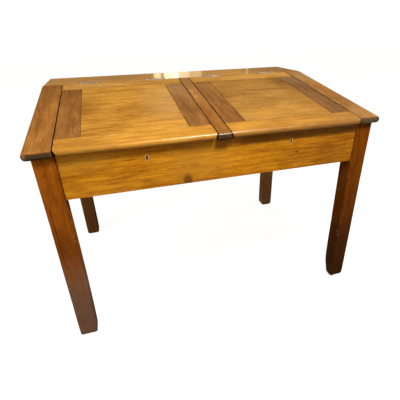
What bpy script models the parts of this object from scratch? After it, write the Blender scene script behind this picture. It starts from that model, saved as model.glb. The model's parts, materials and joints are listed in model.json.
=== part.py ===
"""Twin-lid sloping desk: two lift-up writing lids, a flat shelf behind them, one four-legged frame.

Metres, +Z up. The origin is on the floor under the middle of the desk. +X is the sitter's right
and the front faces -Y. Each lid turns about X on two butt hinges at the shelf's front edge.
"""

import math

import bmesh
import bpy
from mathutils import Matrix

# Overall sizes
TOP_WIDTH = 1.220
TOP_DEPTH = 0.850
SHELF_HEIGHT = 0.858
SHELF_DEPTH = 0.245
SLOPE = math.radians(9.33)

# Boards of the top
TOP_THICKNESS = 0.0245
NOSE_RADIUS = 0.0115
CHEEK_WIDTH = 0.083
DIVIDER_WIDTH = 0.044

# Lids, framed and panelled
LID_SIDE_GAP = 0.003
LID_REST_GAP = 0.0006
JOINT_GAP = 0.0012
STILE_WIDTH = 0.076
FRONT_RAIL_WIDTH = 0.075
BACK_RAIL_WIDTH = 0.074
PANEL_THICKNESS = 0.016
TONGUE_THICKNESS = 0.0075
TONGUE_LENGTH = 0.008

# Legs, aprons and the floor of the wells
SIDE_OVERHANG = 0.0205
FRONT_OVERHANG = 0.0165
BACK_OVERHANG = 0.004
LEG_WIDTH = 0.0635
FOOT_WIDTH = 0.0595
LEG_ROUNDING = 0.003
FOOT_ROUNDING = 0.010
APRON_HEIGHT = 0.1475
APRON_THICKNESS = 0.022
APRON_RECESS = 0.005
TENON_THICKNESS = 0.010
TENON_LENGTH = 0.024
TENON_SHOULDER = 0.018
PARTITION_THICKNESS = 0.022
FLOOR_THICKNESS = 0.010
BEARER_SIZE = 0.018

# Butt hinges
HINGE_LENGTH = 0.086
HINGE_INSET = 0.063
KNUCKLES = 5
KNUCKLE_RADIUS = 0.004
PIN_RADIUS = 0.0016
LEAF_THICKNESS = 0.002
LEAF_DEPTH = 0.020
LEAF_GAP = 0.0006
AXIS_RISE = 0.001
LEAF_HOLES = 3
LEAF_HOLE_RADIUS = 0.0024

# Locks, one under each lid
KEY_OFFSET = 0.257
KEY_DROP = 0.035
KEY_RADIUS = 0.0040
KEY_SLOT_WIDTH = 0.0048
KEY_SLOT_DROP = 0.0115
ESCUTCHEON_WALL = 0.0016
ESCUTCHEON_DEPTH = 0.006
ESCUTCHEON_RISE = 0.0004
LOCK_WIDTH = 0.064
LOCK_WALL = 0.0016
LOCK_RIM = 0.001
LOCK_EAR = 0.012
LOCK_BELOW_KEY = 0.020
BOLT_LENGTH = 0.020
BOLT_HEIGHT = 0.009
BOLT_HEADROOM = 0.0012
BOLT_REST_GAP = 0.003
BOLT_TONGUE_LENGTH = 0.009
BOLT_TONGUE_WIDTH = 0.002
BOLT_TONGUE_HEIGHT = 0.004
LINK_OFFSET = 0.012
LINK_THICKNESS = 0.004
LINK_WALL = 0.0015
LINK_END = 0.003
LINK_EYE_CLEARANCE = 0.0008
LINK_CLEARANCE = 0.0024
LINK_PLATE_LENGTH = 0.046
LINK_PLATE_WIDTH = 0.014
LINK_PLATE_THICKNESS = 0.002

# Round-headed screws of the locks
SCREW_RADIUS = 0.0016
SCREW_LENGTH = 0.008
SCREW_HEAD_RADIUS = 0.0031
SCREW_HEAD_HEIGHT = 0.0014
SCREW_EDGE = 0.006

# Clearances and rounding steps
FIT = 0.0003
NOTCH_CLEARANCE = 0.0005
OVERLAP = 0.004
NOSE_STEPS = 8
ARRIS_STEPS = 3
FOOT_STEPS = 4
ROUND_SIDES = 16
SMALL_SIDES = 10

# Places that follow from the sizes above
SIN, COS, TAN = math.sin(SLOPE), math.cos(SLOPE), math.tan(SLOPE)
NOSE = min(NOSE_RADIUS, 0.48 * TOP_THICKNESS)
HINGE_Y = TOP_DEPTH / 2 - SHELF_DEPTH
SHELF_UNDER = SHELF_HEIGHT - TOP_THICKNESS
SLOPE_LENGTH = NOSE + (HINGE_Y + TOP_DEPTH / 2 + NOSE * SIN - NOSE) / COS
FRONT_FACE = -TOP_DEPTH / 2 + FRONT_OVERHANG
BACK_FACE = TOP_DEPTH / 2 - BACK_OVERHANG
SIDE_FACE = TOP_WIDTH / 2 - SIDE_OVERHANG
LEG_INNER_X = SIDE_FACE - LEG_WIDTH
LEG_INNER_FRONT = FRONT_FACE + LEG_WIDTH
LEG_INNER_BACK = BACK_FACE - LEG_WIDTH
APRON_FRONT = FRONT_FACE + APRON_RECESS
APRON_REAR = APRON_FRONT + APRON_THICKNESS
BACK_APRON_REAR = BACK_FACE - APRON_RECESS
BACK_APRON_FRONT = BACK_APRON_REAR - APRON_THICKNESS
SIDE_APRON_OUTER = SIDE_FACE - APRON_RECESS
SIDE_APRON_INNER = SIDE_APRON_OUTER - APRON_THICKNESS
LID_OUTER_X = TOP_WIDTH / 2 - CHEEK_WIDTH - LID_SIDE_GAP
LID_INNER_X = DIVIDER_WIDTH / 2 + LID_SIDE_GAP
LID_CENTRE_X = (LID_OUTER_X + LID_INNER_X) / 2
LID_WIDTH = LID_OUTER_X - LID_INNER_X
HINGE_OFFSET = LID_WIDTH / 2 - HINGE_INSET - HINGE_LENGTH / 2
SIDES = {"left": -1, "right": 1}


def slope_under(y):
    """Height of the sloping boards' underside above the floor at this depth."""
    return SHELF_HEIGHT - (HINGE_Y - y) * TAN - TOP_THICKNESS / COS


APRON_TOP = slope_under(APRON_FRONT) - LID_REST_GAP
APRON_BOTTOM = APRON_TOP - APRON_HEIGHT
APRON_REAR_TOP = slope_under(APRON_REAR) - LID_REST_GAP
KEY_HEIGHT = APRON_TOP - KEY_DROP
FLOOR_UNDER = APRON_BOTTOM + BEARER_SIZE + FIT
LOCK_TOP = APRON_REAR_TOP - LOCK_RIM
LOCK_BOTTOM = KEY_HEIGHT - LOCK_BELOW_KEY
LOCK_CEILING = LOCK_TOP - LOCK_RIM - LOCK_WALL
LINK_EYE_WIDTH = BOLT_TONGUE_WIDTH * COS + BOLT_TONGUE_HEIGHT * SIN + 2 * LINK_EYE_CLEARANCE
LINK_EYE_HEIGHT = BOLT_TONGUE_HEIGHT * COS + BOLT_TONGUE_WIDTH * SIN + 2 * LINK_EYE_CLEARANCE
LINK_WIDTH = LINK_EYE_WIDTH + 2 * LINK_WALL
LOCK_FRONT = APRON_REAR + FIT
CAVITY_FRONT = LOCK_FRONT + LOCK_WALL
CAVITY_BACK = CAVITY_FRONT + LINK_WIDTH + 2 * LINK_CLEARANCE
LOCK_BACK = CAVITY_BACK + LOCK_WALL

# The bolt's middle in the world, and the link's eye round it in the slope's frame
BOLT_Y = (CAVITY_FRONT + CAVITY_BACK) / 2
BOLT_Z = LOCK_CEILING - BOLT_HEADROOM - BOLT_HEIGHT / 2
LINK_Y = COS * (BOLT_Y - HINGE_Y) + SIN * (BOLT_Z - SHELF_HEIGHT)
LINK_EYE_Z = COS * (BOLT_Z - SHELF_HEIGHT) - SIN * (BOLT_Y - HINGE_Y)


# Shapes, as bmeshes that later functions join, cut and name

AXES = {"X": (1, 2, 0), "Y": (0, 2, 1), "Z": (0, 1, 2)}


def prism(outline, axis, start, end):
    """A closed solid: an outline in the two other axes, in X, Y, Z order, drawn out along one axis."""
    shape = bmesh.new()
    across, up, along = AXES[axis]
    rings = []
    for reach in (start, end):
        ring = []
        for u, v in outline:
            place = [0.0, 0.0, 0.0]
            place[across], place[up], place[along] = u, v, reach
            ring.append(shape.verts.new(place))
        rings.append(ring)
        shape.faces.new(ring)
    for first, second in zip(range(-1, len(outline) - 1), range(len(outline))):
        shape.faces.new((rings[0][first], rings[0][second], rings[1][second], rings[1][first]))
    bmesh.ops.recalc_face_normals(shape, faces=shape.faces)
    return shape


def box(x, y, z):
    """A block between two bounds on each axis, given in either order."""
    (left, right), (front, back) = sorted(x), sorted(y)
    outline = [(left, front), (right, front), (right, back), (left, back)]
    return prism(outline, "Z", min(z), max(z))


def rod(radius, axis, start, end, centre=(0.0, 0.0), sides=ROUND_SIDES):
    """A round bar along one axis, with its corners on the radius."""
    turns = [math.tau * (step + 0.5) / sides for step in range(sides)]
    outline = [(centre[0] + radius * math.cos(a), centre[1] + radius * math.sin(a)) for a in turns]
    return prism(outline, axis, start, end)


def turned(profile, sides=SMALL_SIDES):
    """A lathe-turned solid about Z from (radius, height) points, bottom first."""
    shape = bmesh.new()
    rings = []
    for radius, height in profile:
        turns = [math.tau * step / sides for step in range(sides)]
        places = [(radius * math.cos(a), radius * math.sin(a), height) for a in turns]
        rings.append([shape.verts.new(place) for place in places])
    for low, high in zip(rings, rings[1:]):
        for i in range(sides):
            shape.faces.new((low[i - 1], low[i], high[i], high[i - 1]))
    shape.faces.new(rings[0])
    shape.faces.new(rings[-1])
    bmesh.ops.recalc_face_normals(shape, faces=shape.faces)
    return shape


def moved(shape, matrix):
    bmesh.ops.transform(shape, matrix=matrix, verts=shape.verts)
    return shape


def round_edges(shape, edges, radius, steps):
    bmesh.ops.bevel(
        shape, geom=edges, offset=radius, offset_type="OFFSET", segments=steps, profile=0.5, affect="EDGES"
    )


def edges_where(shape, wanted):
    """The edges whose two end points pass the test."""
    return [edge for edge in shape.edges if wanted(edge.verts[0].co, edge.verts[1].co)]


# Materials and named pieces


def linear(channel):
    share = channel / 255
    return share / 12.92 if share <= 0.04045 else ((share + 0.055) / 1.055) ** 2.4


def finish(name, red, green, blue, roughness, metallic=0.0):
    """A plain finish from an sRGB colour in 0 to 255."""
    made = bpy.data.materials.new(name)
    made.use_nodes = True
    shader = made.node_tree.nodes["Principled BSDF"]
    shader.inputs["Base Color"].default_value = (linear(red), linear(green), linear(blue), 1.0)
    shader.inputs["Roughness"].default_value = roughness
    shader.inputs["Metallic"].default_value = metallic
    return made


def mesh_object(name, shape):
    mesh = bpy.data.meshes.new(name)
    shape.to_mesh(mesh)
    shape.free()
    made = bpy.data.objects.new(name, mesh)
    bpy.context.scene.collection.objects.link(made)
    return made


def piece(name, material, shape, adds=(), cuts=()):
    """One named solid: a shape, others joined to it, then others cut out of it."""
    made = mesh_object(name, shape)
    helpers = []
    for operation, shapes in (("UNION", adds), ("DIFFERENCE", cuts)):
        for other in shapes:
            helper = mesh_object(name + "_tool", other)
            helper.hide_render = True
            helper.display_type = "WIRE"
            helpers.append(helper)
            modifier = made.modifiers.new(operation.lower(), "BOOLEAN")
            modifier.operation = operation
            modifier.solver = "EXACT"
            modifier.object = helper
    graph = bpy.context.evaluated_depsgraph_get()
    mesh = bpy.data.meshes.new_from_object(made.evaluated_get(graph))
    mesh.name = name
    made.modifiers.clear()
    made.data = mesh
    for helper in helpers:
        bpy.data.objects.remove(helper)
    mesh.shade_smooth()
    mesh.set_sharp_from_angle(angle=math.radians(35))
    mesh.materials.clear()
    mesh.materials.append(material)
    return made


def set_origin(made, x, y, z):
    """Moves the origin of a piece that was drawn in world places, and leaves the piece where it is."""
    made.data.transform(Matrix.Translation((-x, -y, -z)))
    made.location = (x, y, z)


def guide(name, location, tilt=0.0):
    """An empty that carries pieces drawn in its own frame."""
    made = bpy.data.objects.new(name, None)
    made.location = location
    made.rotation_euler = (tilt, 0.0, 0.0)
    bpy.context.scene.collection.objects.link(made)
    return made


def hang(made, parent, location=(0.0, 0.0, 0.0), tilt=0.0):
    made.parent = parent
    made.location = location
    made.rotation_euler = (tilt, 0.0, 0.0)


# Legs and aprons


def tenon(x, y, z):
    """Bounds of one tenon, as a block for the rail and a grown block for its mortise."""
    grown = [(min(pair) - FIT, max(pair) + FIT) for pair in (x, y, z)]
    return box(x, y, z), box(*grown)


def cross_tenon(side, apron_front, apron_top):
    """The tenon at one end of the front or the back apron."""
    middle = apron_front + APRON_THICKNESS / 2
    return tenon(
        (side * (LEG_INNER_X - OVERLAP), side * (LEG_INNER_X + TENON_LENGTH)),
        (middle - TENON_THICKNESS / 2, middle + TENON_THICKNESS / 2),
        (APRON_BOTTOM + TENON_SHOULDER, apron_top - TENON_SHOULDER),
    )


def side_tenon(side, end):
    """The tenon at the front (end -1) or the back (end 1) of a side apron."""
    middle = side * (SIDE_APRON_OUTER + SIDE_APRON_INNER) / 2
    shoulder = LEG_INNER_BACK if end > 0 else LEG_INNER_FRONT
    top = SHELF_UNDER if end > 0 else slope_under(LEG_INNER_FRONT)
    return tenon(
        (middle - TENON_THICKNESS / 2, middle + TENON_THICKNESS / 2),
        (shoulder - end * OVERLAP, shoulder + end * TENON_LENGTH),
        (APRON_BOTTOM + TENON_SHOULDER, top - TENON_SHOULDER),
    )


def leg_levels():
    """Height, width and inset of a leg's outline from the floor to the apron: the foot's rounding first."""
    levels = []
    for step in range(FOOT_STEPS + 1):
        angle = 0.5 * math.pi * step / FOOT_STEPS
        levels.append((FOOT_ROUNDING * (1 - math.cos(angle)), FOOT_ROUNDING * (1 - math.sin(angle))))
    taper = (LEG_WIDTH - FOOT_WIDTH) / APRON_BOTTOM
    foot = [(height, FOOT_WIDTH + taper * height, inset) for height, inset in levels]
    return [*foot, (APRON_BOTTOM, LEG_WIDTH, 0.0)]


def leg(name, material, side, end):
    """A square leg, straight on its outer faces, tapered on its inner ones, rounded under the foot."""
    face = BACK_FACE if end > 0 else FRONT_FACE
    shape = bmesh.new()
    rings = []
    for level, width, inset in [*leg_levels(), (None, LEG_WIDTH, 0.0)]:
        near, far = inset, width - inset
        ring = []
        for inward_x, inward_y in ((near, near), (far, near), (far, far), (near, far)):
            y = face - end * inward_y
            top = SHELF_UNDER if end > 0 else slope_under(y)
            height = top - FIT if level is None else level
            ring.append(shape.verts.new((side * (SIDE_FACE - inward_x), y, height)))
        rings.append(ring)
    arrises = []
    for low, high in zip(rings, rings[1:]):
        for i in range(4):
            shape.faces.new((low[i - 1], low[i], high[i], high[i - 1]))
            arrises.append(shape.edges.get((low[i], high[i])))
    shape.faces.new(rings[0])
    shape.faces.new(rings[-1])
    bmesh.ops.recalc_face_normals(shape, faces=shape.faces)
    round_edges(shape, arrises, LEG_ROUNDING, ARRIS_STEPS)
    apron_front = BACK_APRON_FRONT if end > 0 else APRON_FRONT
    apron_top = SHELF_UNDER if end > 0 else APRON_TOP
    mortises = [cross_tenon(side, apron_front, apron_top)[1], side_tenon(side, end)[1]]
    made = piece(name, material, shape, cuts=mortises)
    set_origin(made, side * SIDE_FACE, face, 0.0)


def keyhole(grow=0.0):
    """Outline of a keyhole about its round part: an arc over a straight slot."""
    radius = KEY_RADIUS + grow
    half = KEY_SLOT_WIDTH / 2 + grow
    spread = math.asin(half / radius)
    first, last = spread - math.pi / 2, 1.5 * math.pi - spread
    steps = 2 * SMALL_SIDES
    angles = [first + (last - first) * step / steps for step in range(steps + 1)]
    arc = [(radius * math.cos(angle), radius * math.sin(angle)) for angle in angles]
    return arc + [(-half, -KEY_SLOT_DROP - grow), (half, -KEY_SLOT_DROP - grow)]


def keyhole_prism(side, grow, front, back):
    return moved(
        prism(keyhole(grow), "Y", front, back), Matrix.Translation((side * KEY_OFFSET, 0.0, KEY_HEIGHT))
    )


def lock_screw_places(side):
    """World x and z of the screws through a lock's ears."""
    middle = (LOCK_TOP + LOCK_BOTTOM) / 2
    reach = LOCK_WIDTH / 2 + LOCK_EAR - SCREW_EDGE
    return [(side * KEY_OFFSET + hand * reach, middle) for hand in (-1, 1)]


def front_apron(material):
    outline = [
        (APRON_FRONT, APRON_BOTTOM),
        (APRON_REAR, APRON_BOTTOM),
        (APRON_REAR, APRON_REAR_TOP),
        (APRON_FRONT, APRON_TOP),
    ]
    half = LEG_INNER_X - FIT
    tenons = [cross_tenon(side, APRON_FRONT, APRON_TOP)[0] for side in SIDES.values()]
    cuts = []
    for side in SIDES.values():
        seat = APRON_FRONT + ESCUTCHEON_DEPTH + FIT
        cuts.append(keyhole_prism(side, ESCUTCHEON_WALL + FIT, APRON_FRONT - OVERLAP, seat))
        cuts.append(keyhole_prism(side, 0.0, seat - FIT, APRON_REAR + OVERLAP))
        for x, z in lock_screw_places(side):
            depth = APRON_REAR - SCREW_LENGTH
            cuts.append(rod(SCREW_RADIUS + FIT, "Y", depth, APRON_REAR + OVERLAP, (x, z), SMALL_SIDES))
    made = piece("front_apron", material, prism(outline, "X", -half, half), tenons, cuts)
    set_origin(made, 0.0, APRON_FRONT, APRON_BOTTOM)


def back_apron(material):
    half = LEG_INNER_X - FIT
    board = box((-half, half), (BACK_APRON_FRONT, BACK_APRON_REAR), (APRON_BOTTOM, SHELF_UNDER - FIT))
    tenons = [cross_tenon(side, BACK_APRON_FRONT, SHELF_UNDER)[0] for side in SIDES.values()]
    made = piece("back_apron", material, board, tenons)
    set_origin(made, 0.0, BACK_APRON_REAR, APRON_BOTTOM)


def sloped_board(front, back):
    """Side view of an upright board whose top follows the slope and then the shelf."""
    return [
        (front, APRON_BOTTOM),
        (back, APRON_BOTTOM),
        (back, SHELF_UNDER - FIT),
        (HINGE_Y + JOINT_GAP, SHELF_UNDER - FIT),
        (HINGE_Y, slope_under(HINGE_Y) - FIT),
        (front, slope_under(front) - FIT),
    ]


def side_apron(name, material, side):
    outline = sloped_board(LEG_INNER_FRONT + FIT, LEG_INNER_BACK - FIT)
    board = prism(outline, "X", *sorted((side * SIDE_APRON_INNER, side * SIDE_APRON_OUTER)))
    made = piece(name, material, board, [side_tenon(side, end)[0] for end in (-1, 1)])
    set_origin(made, side * SIDE_APRON_OUTER, LEG_INNER_FRONT, APRON_BOTTOM)


def centre_partition(material):
    half = PARTITION_THICKNESS / 2
    outline = sloped_board(APRON_REAR + FIT, BACK_APRON_FRONT - FIT)
    made = piece("centre_partition", material, prism(outline, "X", -half, half))
    set_origin(made, 0.0, APRON_REAR, APRON_BOTTOM)


def floor_board(name, material, side):
    """The bottom of one well, notched round the two legs."""
    outer, inner = SIDE_APRON_INNER - FIT, PARTITION_THICKNESS / 2 + FIT
    notch = LEG_INNER_X - FIT
    outline = [
        (inner, APRON_REAR + FIT),
        (notch, APRON_REAR + FIT),
        (notch, LEG_INNER_FRONT + FIT),
        (outer, LEG_INNER_FRONT + FIT),
        (outer, LEG_INNER_BACK - FIT),
        (notch, LEG_INNER_BACK - FIT),
        (notch, BACK_APRON_FRONT - FIT),
        (inner, BACK_APRON_FRONT - FIT),
    ]
    outline = [(side * x, y) for x, y in outline]
    made = piece(name, material, prism(outline, "Z", FLOOR_UNDER, FLOOR_UNDER + FLOOR_THICKNESS))
    set_origin(made, side * (outer + inner) / 2, 0.0, FLOOR_UNDER)


def floor_bearer(name, material, side, front):
    """A strip along the inside of an apron, from its front face, that carries a floor board."""
    inner, outer = PARTITION_THICKNESS / 2 + FIT, LEG_INNER_X - FIT
    strip = box((side * inner, side * outer), (front, front + BEARER_SIZE), (APRON_BOTTOM, FLOOR_UNDER - FIT))
    made = piece(name, material, strip)
    set_origin(made, side * (inner + outer) / 2, front, APRON_BOTTOM)


# The top: shelf, end cheeks and centre divider


def hinge_places():
    """World x of each hinge, by lid and by which end of the lid it is near."""
    places = {}
    for lid, side in SIDES.items():
        for near, hand in (("outer", side), ("inner", -side)):
            places[lid, near] = side * LID_CENTRE_X + hand * HINGE_OFFSET
    return places


def hinge_cuts(toward):
    """A leaf's pocket and the round clearance for its barrel, about the hinge axis, on one side in y."""
    half = HINGE_LENGTH / 2 + NOTCH_CLEARANCE
    depth = LEAF_GAP / 2 + LEAF_THICKNESS + FIT
    pocket = box((-half, half), (-toward * OVERLAP, toward * depth), (-LEAF_DEPTH - FIT, KNUCKLE_RADIUS))
    return [pocket, rod(KNUCKLE_RADIUS + NOTCH_CLEARANCE, "X", -half, half)]


def back_shelf(material):
    half = TOP_WIDTH / 2
    front = HINGE_Y + JOINT_GAP / 2
    board = box((-half, half), (front, TOP_DEPTH / 2), (SHELF_UNDER, SHELF_HEIGHT))

    def on_an_end(one, other):
        return min(abs(one.x), abs(other.x)) > half - FIT and one.z == other.z and one.x == other.x

    round_edges(board, edges_where(board, on_an_end), NOSE, NOSE_STEPS)
    cuts = []
    for x in hinge_places().values():
        axis = Matrix.Translation((x, HINGE_Y, SHELF_HEIGHT + AXIS_RISE))
        cuts += [moved(cut, axis) for cut in hinge_cuts(1)]
    made = piece("back_shelf", material, board, cuts=cuts)
    set_origin(made, 0.0, front, SHELF_HEIGHT)


def rear_corners(gap):
    """Rear corners, in the slope's frame, of a board cut upright this far before the hinge line."""
    top = -gap / COS
    return (top, 0.0), (top - TOP_THICKNESS * TAN, -TOP_THICKNESS)


def nosing():
    """The rounded front edge in the slope's frame, from the top face to the underside."""
    points = []
    for height, start in ((-NOSE, 0.5 * math.pi), (NOSE - TOP_THICKNESS, math.pi)):
        for step in range(NOSE_STEPS + 1):
            angle = start + 0.5 * math.pi * step / NOSE_STEPS
            points.append((-SLOPE_LENGTH + NOSE + NOSE * math.cos(angle), height + NOSE * math.sin(angle)))
    return points


def end_cheek(name, material, side, slope_frame):
    """The fixed board at one end of the slope, rounded at its front and along its outer edge."""
    inner, outer = TOP_WIDTH / 2 - CHEEK_WIDTH, TOP_WIDTH / 2
    rear_top, rear_bottom = rear_corners(FIT - JOINT_GAP / 2)
    outline = [rear_top, (-SLOPE_LENGTH, 0.0), (-SLOPE_LENGTH, -TOP_THICKNESS), rear_bottom]
    board = prism(outline, "X", *sorted((side * inner, side * outer)))

    def on_the_rounded_sides(one, other):
        at_front = max(one.y, other.y) < FIT - SLOPE_LENGTH
        at_end = min(abs(one.x), abs(other.x)) > outer - FIT
        return at_front and one.z == other.z or at_end and (one.z == other.z or at_front)

    round_edges(board, edges_where(board, on_the_rounded_sides), NOSE, NOSE_STEPS)
    hang(piece(name, material, board), slope_frame)


def centre_divider(material, slope_frame):
    half = DIVIDER_WIDTH / 2
    rear_top, rear_bottom = rear_corners(FIT - JOINT_GAP / 2)
    strip = prism([rear_top, *nosing(), rear_bottom], "X", -half, half)
    hang(piece("centre_divider", material, strip), slope_frame)


# Lids: two rails, two stiles and a flush panel, held by a tongue in a groove all round


def groove_heights():
    """Bottom and top of the groove round the panel, below the lid's face."""
    return -PANEL_THICKNESS - FIT, TONGUE_THICKNESS - PANEL_THICKNESS + FIT


def lid_back_rail(name, material, lid_frame, seat):
    """The hinged rail: cut upright behind, grooved in front, pocketed for two hinge leaves."""
    low, high = groove_heights()
    depth = TONGUE_LENGTH + FIT
    edge = -BACK_RAIL_WIDTH
    rear_top, rear_bottom = rear_corners(JOINT_GAP / 2)
    outline = [rear_top, (edge, 0.0), (edge, high), (edge + depth, high), (edge + depth, low), (edge, low)]
    outline += [(edge, -TOP_THICKNESS), rear_bottom]
    axis = Matrix.Translation((0.0, AXIS_RISE * SIN, AXIS_RISE * COS)) @ Matrix.Rotation(-SLOPE, 4, "X")
    cuts = []
    for hand in (-1, 1):
        place = axis @ Matrix.Translation((hand * HINGE_OFFSET, 0.0, 0.0))
        cuts += [moved(cut, place) for cut in hinge_cuts(-1)]
    rail = prism(outline, "X", -LID_WIDTH / 2, LID_WIDTH / 2)
    hang(piece(name, material, rail, cuts=cuts), lid_frame, seat)


def lid_front_rail(name, material, side, lid_frame, seat):
    """The rail along the sitter's edge: a rounded nosing, a groove, and a pocket for the link plate."""
    low, high = groove_heights()
    depth = TONGUE_LENGTH + FIT
    edge = FRONT_RAIL_WIDTH - SLOPE_LENGTH
    outline = [(edge, 0.0), *nosing(), (edge, -TOP_THICKNESS)]
    outline += [(edge, low), (edge - depth, low), (edge - depth, high), (edge, high)]
    x = side * (KEY_OFFSET - LID_CENTRE_X)
    along = LINK_PLATE_LENGTH / 2 + FIT
    across = LINK_PLATE_WIDTH / 2 + FIT
    below = -TOP_THICKNESS - OVERLAP
    pocket_top = LINK_PLATE_THICKNESS + FIT - TOP_THICKNESS
    pilot_top = SCREW_LENGTH + FIT - TOP_THICKNESS
    cuts = [box((x - along, x + along), (LINK_Y - across, LINK_Y + across), (below, pocket_top))]
    for screw_x in link_screw_places():
        cuts.append(rod(SCREW_RADIUS + FIT, "Z", below, pilot_top, (x + screw_x, LINK_Y), SMALL_SIDES))
    rail = prism(outline, "X", -LID_WIDTH / 2, LID_WIDTH / 2)
    hang(piece(name, material, rail, cuts=cuts), lid_frame, seat)


def lid_stile(name, material, hand, lid_frame, seat):
    """A stile between the rails, with stub tenons in the rails' grooves. hand is its side of the lid."""
    low, high = groove_heights()
    outer, inner = hand * LID_WIDTH / 2, hand * (LID_WIDTH / 2 - STILE_WIDTH)
    front, back = FRONT_RAIL_WIDTH - SLOPE_LENGTH + FIT, -BACK_RAIL_WIDTH - FIT
    body = box((outer, inner), (front, back), (-TOP_THICKNESS, 0.0))
    stubs = []
    for shoulder, outward in ((front, -1), (back, 1)):
        ends = (shoulder - outward * OVERLAP, shoulder + outward * (TONGUE_LENGTH - FIT))
        stubs.append(box((outer, inner), ends, (low + FIT, high - FIT)))
    reach = TONGUE_LENGTH + OVERLAP
    across = (inner - hand * OVERLAP, inner + hand * (TONGUE_LENGTH + FIT))
    groove = box(across, (front - reach, back + reach), (low, high))
    hang(piece(name, material, body, stubs, [groove]), lid_frame, seat)


def lid_panel(name, material, lid_frame, seat):
    """The panel, flush with the frame's face, with a tongue along its lower edge."""
    half = LID_WIDTH / 2 - STILE_WIDTH - FIT
    front, back = FRONT_RAIL_WIDTH - SLOPE_LENGTH + FIT, -BACK_RAIL_WIDTH - FIT
    reach = TONGUE_LENGTH
    low, high = -PANEL_THICKNESS, TONGUE_THICKNESS - PANEL_THICKNESS
    tongue = box((-half - reach, half + reach), (front - reach, back + reach), (low, high))
    face = box((-half, half), (front, back), ((low + high) / 2, 0.0))
    hang(piece(name, material, tongue, [face]), lid_frame, seat)


# Hinges


def knuckle_bounds(odd):
    """Spans along the pin of every other knuckle, with a running gap between neighbours."""
    step = HINGE_LENGTH / KNUCKLES
    starts = [-HINGE_LENGTH / 2 + step * i for i in range(KNUCKLES) if i % 2 == odd]
    return [(start + FIT / 2, start + step - FIT / 2) for start in starts]


def hinge_leaf(name, material, toward, parent, location, tilt=0.0):
    """One leaf with its knuckles, about the hinge axis. toward is the side of the axis it lies on."""
    odd = 1 if toward < 0 else 0
    half = HINGE_LENGTH / 2
    near, far = toward * LEAF_GAP / 2, toward * (LEAF_GAP / 2 + LEAF_THICKNESS)
    plate = box((-half, half), (near, far), (-LEAF_DEPTH, 0.0))
    barrels = [rod(KNUCKLE_RADIUS, "X", *bounds) for bounds in knuckle_bounds(odd)]
    cuts = [rod(PIN_RADIUS + FIT, "X", -half - OVERLAP, half + OVERLAP)]
    for start, end in knuckle_bounds(1 - odd):
        cuts.append(rod(KNUCKLE_RADIUS + FIT, "X", start - FIT, end + FIT))
    drop = (KNUCKLE_RADIUS + LEAF_DEPTH) / 2
    for i in range(LEAF_HOLES):
        x = HINGE_LENGTH * ((i + 0.5) / LEAF_HOLES - 0.5)
        through = (min(near, far) - OVERLAP, max(near, far) + OVERLAP)
        cuts.append(rod(LEAF_HOLE_RADIUS, "Y", *through, (x, -drop), SMALL_SIDES))
    hang(piece(name, material, plate, barrels, cuts), parent, location, tilt)


def hinge_pin(name, material, parent):
    hang(piece(name, material, rod(PIN_RADIUS, "X", -HINGE_LENGTH / 2, HINGE_LENGTH / 2)), parent)


# Locks


def screw_shape():
    """A round-headed screw along Z, its head above the origin."""
    rim = SCREW_HEAD_HEIGHT / 3
    return turned(
        [
            (SCREW_RADIUS / 2, -SCREW_LENGTH + FIT),
            (SCREW_RADIUS, SCREW_RADIUS - SCREW_LENGTH),
            (SCREW_RADIUS, FIT),
            (SCREW_HEAD_RADIUS, FIT),
            (SCREW_HEAD_RADIUS, rim),
            (SCREW_HEAD_RADIUS / 2, SCREW_HEAD_HEIGHT),
        ]
    )


def link_screw_places():
    """Lengths along the link plate, from its middle, of its two screws."""
    reach = LINK_PLATE_LENGTH / 2 - SCREW_EDGE
    return (-reach, reach)


def escutcheon(name, material, side):
    """A keyhole-shaped thread of brass let into the apron's face."""
    front, back = APRON_FRONT - ESCUTCHEON_RISE, APRON_FRONT + ESCUTCHEON_DEPTH
    hole = keyhole_prism(side, 0.0, front - OVERLAP, back + OVERLAP)
    made = piece(name, material, keyhole_prism(side, ESCUTCHEON_WALL, front, back), cuts=[hole])
    set_origin(made, side * KEY_OFFSET, APRON_FRONT, KEY_HEIGHT)


def lock_case(name, material, side):
    """A box behind the apron on a plate with two ears, slotted on top for the lid's link."""
    middle = side * KEY_OFFSET
    half, ear = LOCK_WIDTH / 2, LOCK_WIDTH / 2 + LOCK_EAR
    plate = box((middle - ear, middle + ear), (LOCK_FRONT, CAVITY_FRONT), (LOCK_BOTTOM, LOCK_TOP))
    shell = box(
        (middle - half, middle + half),
        (LOCK_FRONT + LOCK_WALL / 2, LOCK_BACK),
        (LOCK_BOTTOM + LOCK_RIM, LOCK_TOP - LOCK_RIM),
    )
    inside = half - LOCK_WALL
    deep = (CAVITY_FRONT, CAVITY_BACK)
    cavity = box((middle - inside, middle + inside), deep, (LOCK_BOTTOM + LOCK_RIM + LOCK_WALL, LOCK_CEILING))
    link_x = middle + side * LINK_OFFSET
    slot = LINK_THICKNESS / 2 + LINK_CLEARANCE
    mouth = box((link_x - slot, link_x + slot), deep, (LOCK_CEILING - OVERLAP, LOCK_TOP + OVERLAP))
    cuts = [cavity, mouth, keyhole_prism(side, 0.0, LOCK_FRONT - OVERLAP, CAVITY_FRONT + OVERLAP)]
    for x, z in lock_screw_places(side):
        through = (LOCK_FRONT - OVERLAP, CAVITY_FRONT + OVERLAP)
        cuts.append(rod(SCREW_RADIUS + FIT, "Y", *through, (x, z), SMALL_SIDES))
    made = piece(name, material, plate, [shell], cuts)
    set_origin(made, middle, LOCK_FRONT, KEY_HEIGHT)


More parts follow.
